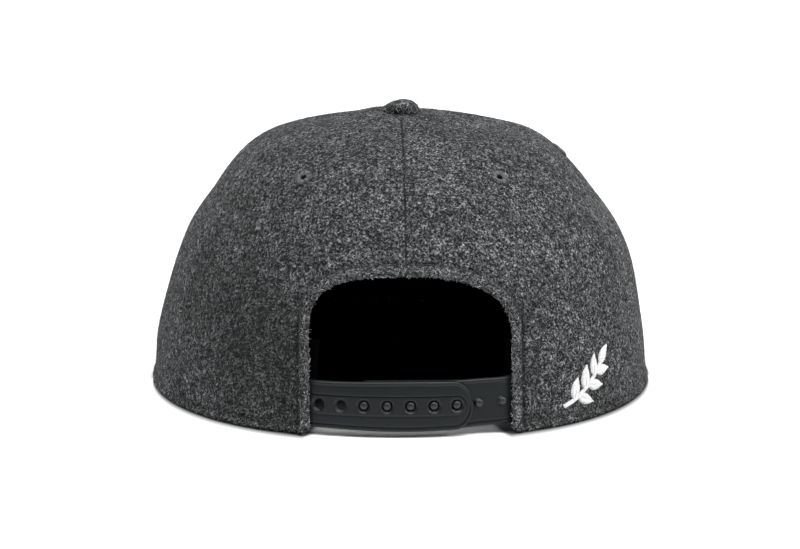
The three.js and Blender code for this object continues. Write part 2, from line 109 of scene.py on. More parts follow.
def lamp(name, place, aim, size, power, spread=180):
    data = bpy.data.lights.new(name, "AREA")
    data.shape = "RECTANGLE"
    data.size, data.size_y = size
    data.energy = power
    data.spread = math.radians(spread)
    thing = bpy.data.objects.new(name, data)
    scene.collection.objects.link(thing)
    thing.location = place
    thing.rotation_euler = (Vector(place) - Vector(aim)).to_track_quat("Z", "Y").to_euler()
    return thing


crown_middle = (0.0, crown_axis_y, look_height)
# Name, place, what it points at, size in metres and power in watts.
lamp("lamp_right", (-1.05, crown_axis_y + 0.45, 0.75), crown_middle, (0.5, 0.5), 7.7)
lamp("lamp_left", (1.2, crown_axis_y - 0.1, 0.8), crown_middle, (0.5, 0.5), 2.8)
lamp("lamp_high", (-0.3, crown_axis_y + 0.5, 1.35), crown_middle, (0.6, 0.6), 4.0)

sky_data = bpy.data.lights.new("sky", "SUN")
sky_data.angle = math.radians(sky_softness)
sky_data.energy = sky_strength
sky = bpy.data.objects.new("sky", sky_data)
scene.collection.objects.link(sky)
sky.rotation_euler = Vector((0.0, 0.1, 1.0)).to_track_quat("Z", "Y").to_euler()

floor_size = 8.0
bpy.ops.mesh.primitive_plane_add(size=floor_size, location=(0, 0, 0))
floor = bpy.context.object
floor.name = "floor"

# %% [markdown]
# Every material is a small tree of nodes on Object coordinates, so a pattern stays with the cloth whichever
# way the cap is seen. A helper adds nodes by name and links what it is given, which keeps each tree short.


# %% Node helpers
class Tree:
    """A short way to write shader trees. A value given for a socket is set, and a socket is linked."""

    def __init__(self, name):
        self.material = bpy.data.materials.new(name)
        self.material.use_nodes = True
        self.nodes = self.material.node_tree.nodes
        self.links = self.material.node_tree.links
        self.shader = self.nodes["Principled BSDF"]
        self.place = self.nodes.new("ShaderNodeTexCoord").outputs["Object"]

    def put(self, socket, value):
        if isinstance(value, bpy.types.NodeSocket):
            self.links.new(value, socket)
        else:
            socket.default_value = value

    def surface(self, **values):
        for name, value in values.items():
            self.put(self.shader.inputs[name.replace("_", " ")], value)

    def math(self, kind, first, second=0.0, clamp=False):
        node = self.nodes.new("ShaderNodeMath")
        node.operation = kind
        node.use_clamp = clamp
        self.put(node.inputs[0], first)
        self.put(node.inputs[1], second)
        return node.outputs[0]

    def ramp(self, value, low, high, out_low=0.0, out_high=1.0):
        node = self.nodes.new("ShaderNodeMapRange")
        node.interpolation_type = "SMOOTHSTEP"
        limits = {"From Min": low, "From Max": high, "To Min": out_low, "To Max": out_high}
        for name, number in limits.items():
            node.inputs[name].default_value = number
        self.put(node.inputs["Value"], value)
        return node.outputs["Result"]

    def attribute(self, name):
        """A value that the mesh keeps for each of its points."""
        node = self.nodes.new("ShaderNodeAttribute")
        node.attribute_name = name
        return node.outputs["Fac"]

    def shifted(self, offset):
        node = self.nodes.new("ShaderNodeMapping")
        node.inputs["Location"].default_value = offset
        self.links.new(self.place, node.inputs["Vector"])
        return node.outputs["Vector"]

    def noise(self, size, detail=2.0, rough=0.5, distortion=0.0, offset=(0, 0, 0)):
        """Noise whose lumps are about the given size in metres."""
        node = self.nodes.new("ShaderNodeTexNoise")
        node.inputs["Scale"].default_value = 1 / size
        node.inputs["Detail"].default_value = detail
        node.inputs["Roughness"].default_value = rough
        node.inputs["Distortion"].default_value = distortion
        self.links.new(self.shifted(offset), node.inputs["Vector"])
        return node.outputs["Fac"]

    def colours(self, value, stops):
        node = self.nodes.new("ShaderNodeValToRGB")
        elements = node.color_ramp.elements
        while len(elements) < len(stops):
            elements.new(0.5)
        for element, (position, colour) in zip(elements, stops):
            element.position = position
            element.color = (*colour, 1)
        self.put(node.inputs["Fac"], value)
        return node.outputs["Color"]

    def bump(self, height, distance, strength=1.0):
        node = self.nodes.new("ShaderNodeBump")
        node.inputs["Distance"].default_value = distance
        node.inputs["Strength"].default_value = strength
        self.put(node.inputs["Height"], height)
        self.surface(Normal=node.outputs["Normal"])


print("node helpers:", [name for name in vars(Tree) if not name.startswith("_")])

# %% [markdown]
# The wool is a melange: dark and pale fibres felted together. A value kept on the mesh paints shade into
# seams, grooves and patches beside the arch, and paints a little light on the crests of folds. Two tricks
# make the fibres. A line where a noise passes its middle value wanders like a hair, so a thin band round it
# draws curly fibres, and a second noise breaks them into short lengths. Finer noise under them gives the
# dark pits between fibres. Scanned pictures of felt would repeat on a piece this large, and noise doesn't.

# %% Wool
# Size of the curls, width of the band, size of the breaks and a shift that sets the three kinds apart.
fibre_kinds = [
    (1.8 * mm, 0.065, 1.8 * mm, 0.0),
    (2.6 * mm, 0.05, 2.2 * mm, 5.0),
    (1.4 * mm, 0.08, 1.5 * mm, 9.0),
]


def fibre_lines(tree, size, width, breaks, offset):
    """Short curly lines: a thin band round the middle value of a noise, broken up by another noise."""
    field = tree.noise(size, detail=1.5, rough=0.6, distortion=0.7, offset=offset)
    from_middle = tree.math("ABSOLUTE", tree.math("SUBTRACT", field, 0.5))
    line = tree.ramp(from_middle, 0.0, width, 1.0, 0.0)
    mask = tree.ramp(tree.noise(breaks, detail=1.0, offset=tuple(v + 3.1 for v in offset)), 0.44, 0.58)
    return tree.math("MULTIPLY", line, mask)


def wool_material(name):
    tree = Tree(name)
    grain = tree.noise(0.8 * mm, detail=2.0, rough=0.65)
    clumps = tree.noise(3.2 * mm, detail=2.0, rough=0.6, offset=(1.7, 0.3, 0.9))
    blotches = tree.noise(15 * mm, detail=2.0, rough=0.5, offset=(0.2, 2.4, 1.1))
    fibres = 0.0
    for size, width, breaks, shift in fibre_kinds:
        more = fibre_lines(tree, size, width, breaks, (shift, shift * 0.7, shift * 0.3))
        fibres = tree.math("MAXIMUM", fibres, more)
    body = tree.math("MULTIPLY", tree.ramp(grain, 0.4, 0.62), tree.ramp(clumps, 0.3, 0.7, 0.6, 1.0))
    body = tree.math("MULTIPLY", body, tree.ramp(blotches, 0.3, 0.7, 0.75, 1.08))
    felt = tree.math("MULTIPLY", body, 0.55)
    value = tree.math("ADD", felt, tree.math("MULTIPLY", fibres, 0.5), clamp=True)
    # Painted shade and light: the mesh value darkens seams, grooves and patches beside the arch, and
    # lightens fold crests.
    painted_shading_factor = tree.math("SUBTRACT", 1.0, tree.attribute("pressed"))
    shaded = tree.math("MULTIPLY", value, painted_shading_factor)
    stops = [(0.0, 0.006), (0.25, 0.022), (0.5, 0.068), (0.75, 0.155), (1.0, 0.32)]
    tint = (0.98, 1.0, 1.03)
    colour = tree.colours(shaded, [(at, tuple(grey * part for part in tint)) for at, grey in stops])
    tree.surface(Base_Color=colour, Roughness=0.95, Specular_IOR_Level=0.08)
    tree.bump(value, 0.35 * mm, 0.8)
    return tree.material


def black_material(name, weave_size, value):
    tree = Tree(name)
    weave = tree.noise(weave_size, detail=2.0)
    grey = tree.ramp(weave, 0.3, 0.7, 0.6, 1.4)
    shade = tree.colours(grey, [(0.0, (value * 0.5,) * 3), (1.0, (value,) * 3)])
    tree.surface(Base_Color=shade, Roughness=0.95, Specular_IOR_Level=0.0)
    tree.bump(weave, 0.12 * mm, 0.6)
    return tree.material


wool = wool_material("wool")
# The lining is black cloth, set darker than black cloth really is, which paints shade onto the inside of the
# crown.
backing = black_material("black_backing", 0.7 * mm, 0.001)
print("materials:", wool.name, backing.name)

# %% [markdown]
# Thread is dull and smooth, cotton is matt, and the moulded plastic has a faint grain under a satin shine.
# One noise of the right size does for each of them, because their shapes are built and not painted.


# %% Thread, cotton and plastic
def thread_material(name, value, sheen, roughness, low=0.72):
    tree = Tree(name)
    twist = tree.noise(0.7 * mm, detail=3.0)
    shade = tree.colours(tree.ramp(twist, 0.36, 0.64), [(0.0, (value * low,) * 3), (1.0, (value,) * 3)])
    tree.surface(Base_Color=shade, Roughness=roughness, Sheen_Weight=sheen, Specular_IOR_Level=0.3)
    tree.bump(twist, 0.04 * mm, 0.5)
    return tree.material


def plastic_material(name):
    tree = Tree(name)
    grain = tree.noise(0.3 * mm, detail=3.0, rough=0.6)
    cloud = tree.noise(9 * mm, detail=2.0)
    # The mesh value paints shade along the moulded grooves and a highlight on the post heads, and scales the
    # shine with it.
    painted_shading_factor = tree.math("SUBTRACT", 1.0, tree.attribute("pressed"))
    tone = tree.math("MULTIPLY", tree.ramp(cloud, 0.2, 0.8, 0.8, 1.0), painted_shading_factor)
    shade = tree.colours(tone, [(0.0, (0.001, 0.0012, 0.0013)), (1.0, (0.0082, 0.0101, 0.0108))])
    roughness = tree.ramp(grain, 0.2, 0.8, 0.3, 0.42)
    shine = tree.math("MULTIPLY", painted_shading_factor, 0.24)
    tree.surface(Base_Color=shade, Roughness=roughness, Specular_IOR_Level=shine)
    tree.bump(grain, 0.01 * mm, 0.35)
    return tree.material


def fibre_wool(name):
    """Each loose fibre has its own shade, kept on the mesh as an attribute."""
    tree = Tree(name)
    stops = [
        (0.0, (0.025, 0.0254, 0.026)),
        (0.45, (0.1, 0.102, 0.105)),
        (0.8, (0.2, 0.204, 0.21)),
        (1.0, (0.38, 0.386, 0.396)),
    ]
    colour = tree.colours(tree.attribute("shade"), stops)
    tree.surface(Base_Color=colour, Roughness=0.9, Specular_IOR_Level=0.1)
    return tree.material


grey_thread = thread_material("grey_thread", 0.135, 0.1, 0.8, 0.3)
dark_thread = thread_material("dark_thread", 0.04, 0.05, 0.85)
white_thread = thread_material("white_thread", 0.7, 0.1, 0.5)
# The sweatband is black cotton, set darker than such cotton really is, which paints shade onto it inside the
# crown.
black_cotton = black_material("black_cotton", 0.6 * mm, 0.0012)
plastic = plastic_material("black_plastic")
fibre_material = fibre_wool("wool_fibre")
print("plastic and threads:", plastic.name, grey_thread.name, dark_thread.name, white_thread.name)

# %% [markdown]
# The floor is matt and almost white. Under the crown it is painted black, as painted shade for the inside of
# the cap, which keeps the opening black. This painted shade is a little paler near the strap, where it shows
# through the open holes, and its soft edge ends just outside the hem as a painted contact shadow. Something
# black inside the cap would work too, but it would be a piece that the real cap hasn't got.

# %% Floor finish
painted_shade_half_width = 94 * mm
painted_shade_depth = 98 * mm
painted_shade_roundness = 2.1
painted_shade_black = 0.002
floor_white = 0.94


def floor_material(name):
    """White with black painted shade under the crown, whose edge is a distance past the hem made soft by a
    ramp into a painted contact shadow.
    """
    tree = Tree(name)
    tone = tree.noise(0.4, detail=1.0)
    place = tree.nodes.new("ShaderNodeSeparateXYZ")
    tree.links.new(tree.shifted((0, -crown_axis_y, 0)), place.inputs[0])
    deep = place.outputs["Y"]
    side = tree.math("ABSOLUTE", place.outputs["X"])
    across_hem = tree.math("MINIMUM", tree.math("DIVIDE", side, painted_shade_half_width), 1.0)
    left_over = tree.math("SUBTRACT", 1.0, tree.math("POWER", across_hem, painted_shade_roundness))
    hem_deep = tree.math("MULTIPLY", tree.math("POWER", left_over, 1 / painted_shade_roundness), painted_shade_depth)
    past_hem = tree.math("SUBTRACT", tree.math("ABSOLUTE", deep), hem_deep)

    # The painted shade ends 17 mm sooner at the strap, and reaches out under the peak, where its edge is
    # sharp.
    at_strap = tree.ramp(side, 31 * mm, 38 * mm, 17 * mm, 0.0)
    at_front = tree.ramp(deep, -75 * mm, -60 * mm, 1.0, 0.0)
    at_peak = tree.math("MULTIPLY", at_front, tree.ramp(side, 50 * mm, 75 * mm, 38 * mm, 0.0))
    sharper = tree.ramp(deep, -2 * mm, 2 * mm, 6.0, 1.0)
    past_painted_shade = tree.math("SUBTRACT", tree.math("ADD", past_hem, at_strap), at_peak)
    past_painted_shade = tree.math("MULTIPLY", past_painted_shade, sharper)
    off_painted_shade = tree.ramp(past_painted_shade, -3 * mm, 11 * mm)
    off_painted_shade = tree.math("MAXIMUM", off_painted_shade, tree.ramp(side, 93 * mm, 95.5 * mm))

    near_strap = tree.ramp(deep, 15 * mm, 60 * mm, 0.0, 0.1)
    value = tree.math("MAXIMUM", off_painted_shade, near_strap)
    value = tree.math("MULTIPLY", value, tree.ramp(tone, 0.3, 0.7, 0.98, 1.0))
    colour = tree.colours(value, [(0.0, (painted_shade_black,) * 3), (1.0, (floor_white,) * 3)])
    tree.surface(Base_Color=colour, Roughness=0.9, Specular_IOR_Level=0.0)
    return tree.material


floor.data.materials.append(floor_material("pale_floor"))
print("floor:", floor.data.materials[0].name)

# %% [markdown]
# The crown is one smooth surface, cut into six panels. A short table of sections gives its height, its
# half-width and its depths, and a superellipse gives its plan. A sculpted mesh could have the same shape,
# but from one surface each seam, band, strap and eyelet can take its place and its direction. The sizes
# come from the solids' boxes where these show them.

# %% Crown surface
crown_half_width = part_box("panel_side_left")[1][0]
crown_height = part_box("panel_side_left")[1][2]
crown_back_depth = 99 * mm
peak_reach = 68 * mm
crown_front_depth = crown_axis_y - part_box("peak")[0][1] - peak_reach
crown_roundness = 2.1
top_hole_radius = 2.5 * mm
cloth_thickness = 2 * mm
seat_gap = 0.3 * mm
peak_half_width = 90 * mm
peak_rise = 5 * mm
peak_thickness = 3.8 * mm
peak_tip_thickness = 1.6 * mm
peak_tip_azimuth = 108
peak_taper_angle = 16
hem_rise_angle = 6

# Height is a share of the crown's height, side, back and front are shares of its half-width and depths, and
# lean is a sideways shift as a share of the half-width, which fades to none at the middle of back and front.
# The columns are height, side, back, front and lean.
crown_sections = np.array([
    (0.0, 1.0, 1.0, 1.0, 0.0),
    (0.07, 0.988, 0.99, 1.0, 0.0),
    (0.18, 0.981, 0.97, 0.993, 0.0),
    (0.32, 0.951, 0.935, 0.975, -0.007),
    (0.46, 0.908, 0.885, 0.948, -0.014),
    (0.58, 0.851, 0.828, 0.912, -0.015),
    (0.69, 0.764, 0.758, 0.86, -0.013),
    (0.78, 0.692, 0.68, 0.785, -0.009),
    (0.858, 0.61, 0.582, 0.67, -0.006),
    (0.913, 0.5, 0.47, 0.51, -0.005),
    (0.954, 0.3, 0.32, 0.31, -0.006),
    (0.981, 0.14, 0.16, 0.15, -0.003),
    (1.0, 0.0, 0.0, 0.0, 0.0),
])

# Azimuth and wide are degrees, height and tall are shares of the crown's height, depth is in metres.
dents = [
    {"azimuth": 33, "height": 0.22, "wide": 7, "tall": 0.2, "depth": 1.2 * mm},
    {"azimuth": -31, "height": 0.2, "wide": 6, "tall": 0.22, "depth": 0.7 * mm},
    {"azimuth": 74, "height": 0.45, "wide": 14, "tall": 0.16, "depth": 0.6 * mm},
]


# %% Points on the crown
def section_at(share):
    """Rows of the table at any share of the way from hem to top, on a smooth curve through its points."""
    last = len(crown_sections) - 1
    at = np.clip(share, 0, 1) * last
    row = np.minimum(at.astype(int), last - 1)
    part = (at - row)[..., None]
    table = np.vstack([crown_sections[:1], crown_sections, crown_sections[-1:]])
    before, here, there, after = (table[row + step] for step in range(4))
    return 0.5 * (
        2 * here
        + (there - before) * part
        + (2 * before - 5 * here + 4 * there - after) * part ** 2
        + (3 * here - before - 3 * there + after) * part ** 3
    )


def smoothstep(value, low, high):
    part = np.clip((value - low) / (high - low), 0, 1)
    return part * part * (3 - 2 * part)


def bell(value, middle, width):
    """A smooth hump, 1 at its middle and almost nothing two widths away."""
    return np.exp(-(((value - middle) / width) ** 2))


def outline_radius(azimuth, half_width, depth):
    across = np.abs(np.sin(np.radians(azimuth))) / half_width
    along = np.abs(np.cos(np.radians(azimuth))) / depth
    return (across ** crown_roundness + along ** crown_roundness) ** (-1 / crown_roundness)


def peak_underside(x):
    return np.maximum(0, peak_rise * (1 - (x / peak_half_width) ** 2))


def peak_thickness_at(azimuth):
    past = smoothstep(np.abs(azimuth), peak_tip_azimuth, peak_tip_azimuth + peak_taper_angle)
    return peak_tip_thickness + (peak_thickness - peak_tip_thickness) * past


def hem_lift(azimuth):
    rim_x = outline_radius(azimuth, crown_half_width, crown_front_depth) * np.sin(np.radians(azimuth))
    on_peak = smoothstep(np.abs(azimuth), peak_tip_azimuth - hem_rise_angle, peak_tip_azimuth - 1)
    return on_peak * (peak_underside(rim_x) + peak_thickness_at(azimuth) + seat_gap)


def crown_point(azimuth, share):
    azimuth, share = np.broadcast_arrays(np.asarray(azimuth, float), np.asarray(share, float))
    height, side, back, front, lean = np.moveaxis(section_at(share), -1, 0)
    width = top_hole_radius + (crown_half_width - top_hole_radius) * np.maximum(side, 0)
    to_back = top_hole_radius + (crown_back_depth - top_hole_radius) * np.maximum(back, 0)
    to_front = top_hole_radius + (crown_front_depth - top_hole_radius) * np.maximum(front, 0)
    facing_back = np.cos(np.radians(azimuth)) > 0
    radius = outline_radius(azimuth, width, np.where(facing_back, to_back, to_front))
    return np.stack([
        radius * np.sin(np.radians(azimuth)) + lean * crown_half_width * np.abs(np.sin(np.radians(azimuth))),
        radius * np.cos(np.radians(azimuth)) + crown_axis_y,
        height * crown_height + hem_lift(azimuth) * (1 - height) ** 3,
    ], axis=-1)


def unit(vectors):
    return vectors / np.maximum(np.linalg.norm(vectors, axis=-1, keepdims=True), 1e-12)


def run_lengths(points):
    """Length from the first point of a line to each of its points."""
    steps = np.linalg.norm(np.diff(points, axis=0), axis=1)
    return np.concatenate([[0], np.cumsum(steps)])


def points_at(at, lengths, points):
    """Points of a line at given lengths along it."""
    columns = [np.interp(at, lengths, column) for column in points.T]
    return np.stack(columns, axis=-1)


def crown_normal(azimuth, share):
    half_degree, share_step = 0.5, 0.004
    around = crown_point(azimuth + half_degree, share) - crown_point(azimuth - half_degree, share)
    above = crown_point(azimuth, np.minimum(share + share_step, 1))
    below = crown_point(azimuth, np.maximum(share - share_step, 0))
    return unit(np.cross(above - below, around))


# %% Skin of the cloth
def dent_depth(azimuth, height):
    depth = np.zeros_like(height)
    for dent in dents:
        across = bell(azimuth, dent["azimuth"], dent["wide"])
        along = bell(height / crown_height, dent["height"], dent["tall"])
        depth += dent["depth"] * across * along
    return depth


def skin_point(azimuth, share, depth, straight=0.0):
    """Point at a depth below the cloth's outer face, dents included. The hem's edge stays flat.

    Where straight is 1 the depth runs along Y, as the arch is cut, and elsewhere along the cloth's normal.
    """
    azimuth, share = np.broadcast_arrays(np.asarray(azimuth, float), np.asarray(share, float))
    point = crown_point(azimuth, share)
    normal = crown_normal(azimuth, share)
    facing_y = np.where(np.abs(normal[..., 1]) > 0.5, normal[..., 1], 1)
    along_y = np.stack([0 * share, 1 / facing_y, 0 * share], axis=-1)
    way = normal + (along_y - normal) * np.asarray(straight)[..., None]
    inward = (np.asarray(depth) + dent_depth(azimuth, point[..., 2]))[..., None] * way
    inward[..., 2] *= np.minimum(1, share / 0.1)
    return point - inward


# %% Places by height and from side to side
test_shares = np.linspace(0, 1, 400)
test_heights = section_at(test_shares)[:, 0] * crown_height


def share_at(height):
    """Share of the table at a height above the floor, at the back and sides."""
    return np.interp(height, test_heights, test_shares)


def halved(low, high, short_at, shape, rounds):
    """The value between low and high where short_at turns from true to false."""
    low, high = np.full(shape, low), np.full(shape, high)
    for _ in range(rounds):
        middle = (low + high) / 2
        short = short_at(middle)
        low, high = np.where(short, middle, low), np.where(short, high, middle)
    return (low + high) / 2


def azimuth_at(x, share):
    """Azimuth at the back of the crown where the wall passes a sideways place."""
    return halved(-85.0, 85.0, lambda azimuth: crown_point(azimuth, share)[..., 0] < x, np.shape(x), 40)


print("crown:", round(crown_half_width * 2000), "mm wide", round(crown_height * 1000), "mm tall")

# %% [markdown]
# The arch at the back is straight at its sides and round at its top. Its distance field, seen from behind,
# shapes the turned edge of the cloth: a round lip, a soft swelling, and a stitched groove. Cutting the arch
# with a boolean would leave a hard edge and uneven faces, so the grid is laid along the outline instead.

# %% Arch outline
arch_half_width = 36.4 * mm
arch_height = 56 * mm
arch_side_height = 35 * mm
arch_roundness = {"left": 3, "right": 2.25}
arch_shift = -1.6 * mm
arch_foot_radius = 4 * mm
arch_stitch_inset = 4.4 * mm
hem_stitch_inset = 3.2 * mm
stitch_pitch = 3.2 * mm


def arch_outline(run, offset=0.0):
    """Point (x, z) of the outline at run 0 (left foot) to 1 (right foot), moved out by an offset."""
    half = arch_half_width + offset
    rise = arch_height - arch_side_height + offset
    corner = max(arch_foot_radius - offset, 0)
    foot_part, side_part, top_start = 0.04, 0.24, 0.28
    from_foot = np.minimum(run, 1 - run)
    round_foot = np.clip(from_foot / foot_part, 0, 1) * np.pi / 2
    straight = np.clip((from_foot - foot_part) / side_part, 0, 1)
    turn = np.clip((run - top_start) / (1 - 2 * top_start), 0, 1) * np.pi
    roundness = np.where(np.cos(turn) > 0, arch_roundness["left"], arch_roundness["right"])
    across = np.sign(np.cos(turn)) * np.abs(np.cos(turn)) ** (2 / roundness)
    up = np.abs(np.sin(turn)) ** (2 / roundness)
    flare = np.sign(np.cos(turn)) * corner * (1 - np.sin(round_foot))
    z = corner * (1 - np.cos(round_foot)) + (arch_side_height - corner) * straight + rise * up
    return arch_shift + half * across + flare, z


def arch_distance(x, z):
    """How far a place on the back lies outside the arch's outline."""
    across = np.abs(x - arch_shift)
    rise = arch_height - arch_side_height
    from_centre = np.hypot(arch_half_width + arch_foot_radius - across, arch_foot_radius - z)
    in_corner = (z < arch_foot_radius) & (across < arch_half_width + arch_foot_radius)
    up = np.maximum(z - arch_side_height, 0)
    power = np.where(x > arch_shift, arch_roundness["left"], arch_roundness["right"])
    reach = ((across / arch_half_width) ** power + (up / rise) ** power) ** (1 / power)
    slope_x = reach ** (1 - power) * across ** (power - 1) / arch_half_width ** power
    slope_z = reach ** (1 - power) * up ** (power - 1) / rise ** power
    distance = (reach - 1) / np.maximum(np.hypot(slope_x, slope_z), 1e-6)
    return np.where(in_corner, arch_foot_radius - from_centre, distance)


def arch_run_length(x, z):
    """Length along the arch, from the foot upwards, to space the stitches."""
    rise = arch_height - arch_side_height
    turn = np.arctan2(np.maximum(z - arch_side_height, 0) / rise, np.abs(x - arch_shift) / arch_half_width)
    return np.minimum(z, arch_side_height) + turn * (arch_half_width + rise) / 2


print("arch:", round(2000 * arch_half_width), "x", round(1000 * arch_height), "mm")

# %% [markdown]
# Cloth that is sewn isn't a smooth shell. Along each seam the two panels roll down into a narrow groove and
# pucker a little. Along the arch and the hem the cloth is turned under, so it swells and then dips where the
# stitches pull it down. The next cells add these up as one depth below the smooth surface. A bump map could
# draw them too, but real relief also shows in the outline and in the light that grazes the arch.

# %% Relief of the seams
side_seam, front_seam = 66, 120
# The last value of each seam is the shade painted along its groove.
seams = [
    {"azimuth": 0, "depth": 0.6 * mm, "pressed": 0.95},
    {"azimuth": side_seam, "depth": 0.3 * mm, "pressed": 0.25},
    {"azimuth": front_seam, "depth": 0.5 * mm, "pressed": 0.5},
    {"azimuth": 180, "depth": 0.6 * mm, "pressed": 0.7},
    {"azimuth": -front_seam, "depth": 0.5 * mm, "pressed": 0.5},
    {"azimuth": -side_seam, "depth": 0.3 * mm, "pressed": 0.25},
]
seam_width = 0.7 * mm
seam_dark_width = 0.38 * mm
seam_stitch = 2.4 * mm
pucker_pitch = 6.5 * mm
panel_length = 155 * mm


def seam_relief(azimuth, share, radius):
    """Depth of the grooves along the seams with the pucker beside them, and the shade painted in the
    grooves.
    """
    depth = np.zeros_like(radius)
    pressed = np.zeros_like(radius)
    run = share * panel_length
    stitch_wave = np.cos(2 * np.pi * run / seam_stitch)
    clear_of_button = smoothstep(radius, 6 * mm, 12 * mm)
    for seam in seams:
        turn = np.radians((azimuth - seam["azimuth"] + 180) % 360 - 180)
        distance = np.abs(turn) * radius
        groove = (1 + 0.35 * stitch_wave) * np.exp(-((distance / seam_width) ** 1.6))
        depth += seam["depth"] * clear_of_button * groove
        pucker = np.cos(2 * np.pi * run / pucker_pitch + seam["azimuth"])
        depth += 0.09 * seam["depth"] * pucker * np.exp(-distance / (3.5 * mm))
        seam_painted_shade = seam["pressed"] * clear_of_button * (0.62 + 0.38 * stitch_wave)
        pressed = np.maximum(pressed, seam_painted_shade * bell(distance, 0, seam_dark_width))
    return depth, pressed


print("seams at", [seam["azimuth"] for seam in seams], "degrees")

# %% Relief of the turned edges
lip_radius = 1.1 * mm
fold_swelling = 0.85 * mm
groove_width = 0.9 * mm
groove_depth = 1.0 * mm
dimple_depth = 0.4 * mm
edge_reach = 20 * mm


def lip(distance):
    edge = np.clip(1 - distance / lip_radius, 0, 1)
    return lip_radius * (1 - np.sqrt(1 - edge ** 2))


def fold(distance, stitch_inset, run_length):
    """Swelling of a turned and stitched edge, and the depth of its groove with the needle dimples."""
    swelling = fold_swelling * bell(distance, stitch_inset * 0.5, stitch_inset * 0.34)
    groove = bell(distance, stitch_inset, groove_width)
    dimple = 0.5 + 0.5 * np.cos(2 * np.pi * run_length / stitch_pitch)
    return swelling, groove * (groove_depth + dimple_depth * dimple)


def distance_to_arch(azimuth, point):
    """Distance outside the arch for places at the back, and far for all others."""
    at_back = np.cos(np.radians(azimuth)) > 0.6
    return np.where(at_back, arch_distance(point[..., 0], point[..., 2]), 1.0)


def plain_hem(azimuth):
    return 1 - smoothstep(np.abs(azimuth), peak_tip_azimuth - peak_taper_angle, peak_tip_azimuth - 1)


def edge_relief(azimuth, point, near_arch):
    """Depth of the stitched edges, and the shade painted in their grooves. The hem's are half as deep and
    end at the peak.
    """
    x, _, z = np.moveaxis(point, -1, 0)
    above_hem = z - hem_lift(azimuth)
    hem_swelling, hem_groove = fold(above_hem, hem_stitch_inset, np.radians(azimuth) * crown_half_width)
    arch_swelling, arch_groove = fold(near_arch, arch_stitch_inset, arch_run_length(x, z))
    hem_groove = 0.5 * hem_groove * plain_hem(azimuth) * smoothstep(near_arch, 3 * mm, 6 * mm)
    hem_swelling = 0.5 * hem_swelling * plain_hem(azimuth)
    arch_groove *= (near_arch < edge_reach) * (0.45 + 0.55 * (1 - smoothstep(z, 36 * mm, 50 * mm)))
    arch_swelling *= near_arch < edge_reach
    depth = lip(np.minimum(above_hem, near_arch))
    depth += np.maximum(hem_groove, arch_groove) - np.maximum(hem_swelling, arch_swelling)
    return depth, 0.5 * np.maximum(hem_groove * 0.6, arch_groove) / mm


# %% Uneven lie of the cloth
# Depth of the dip beside the arch, the shade painted in it and on a broad patch of the back left panel, and
# the light painted on the fold's crest.
beside_depth = {"left": 1.3 * mm, "right": 0.5 * mm}
beside_painted_shade = {"left": 0.34, "right": 0.08}
patch_painted_shade = 0.35
gathered_height = 1.2 * mm
wave_height = 0.22 * mm
fold_painted_light = 0.05


def uneven_lie(azimuth, point, near_arch):
    """Hollows beside the arch, cloth gathered up to the button, and long soft waves, with the shade painted
    in the hollows and on a broad patch of the back left panel.
    """
    x, y, z = np.moveaxis(point, -1, 0)
    left = x > arch_shift
    low = 1 - smoothstep(z, 34 * mm, 56 * mm)
    beside = bell(near_arch, 9 * mm, 4.5 * mm) * low * (near_arch < 30 * mm)
    # A broad patch of painted shade on the back left panel, which changes no depth.
    shade_patch = bell(x, 54 * mm, 22 * mm) * bell(z, 31 * mm, 26 * mm) * (y > crown_axis_y)
    radius = np.hypot(x, y - crown_axis_y)
    gathered = gathered_height * bell(x, 9 * mm, 8 * mm) * bell(y - crown_axis_y, -8 * mm, 18 * mm)
    gathered += 0.45 * mm * bell(radius, 0, 30 * mm)
    waves = (
        np.sin(x * 71 + z * 43 + 0.6) * np.sin(y * 58 - z * 37)
        + 0.6 * np.sin(x * 131 - y * 97 + z * 119 + 1.9)
    )
    depth = beside * np.where(left, beside_depth["left"], beside_depth["right"])
    beside_shade = beside * np.where(left, beside_painted_shade["left"], beside_painted_shade["right"])
    depth -= gathered * smoothstep(z, 90 * mm, 98 * mm) * smoothstep(radius, 3 * mm, 7 * mm)
    depth += wave_height * waves * smoothstep(z - hem_lift(azimuth), 0, 15 * mm)
    return depth, np.maximum(beside_shade, patch_painted_shade * shade_patch)


def sewn_relief(azimuth, share, point):
    """Depth below the smooth crown, and the shade painted at each place, below zero where light is painted.
    """
    radius = np.hypot(point[..., 0], point[..., 1] - crown_axis_y)
    near_arch = distance_to_arch(azimuth, point)
    parts = [
        seam_relief(azimuth, share, radius),
        edge_relief(azimuth, point, near_arch),
        uneven_lie(azimuth, point, near_arch),
    ]
    depth = sum(part[0] for part in parts)
    pressed = np.max([part[1] for part in parts], axis=0)
    # Painted light on the crest of the arch's fold.
    painted_fold_light = fold_painted_light * (near_arch < edge_reach) * bell(near_arch, 1.8 * mm, 1.6 * mm)
    return depth, pressed - painted_fold_light


print("relief: seams, turned edges and the uneven lie of the cloth")

# %% [markdown]
# Threads and fibres are small shapes repeated hundreds of times, so two Geometry Nodes trees grow them. The
# helper below makes a tree with named inputs and adds nodes to it. The grown mesh is kept and the modifier
# is taken off again, so that the pieces are plain meshes.


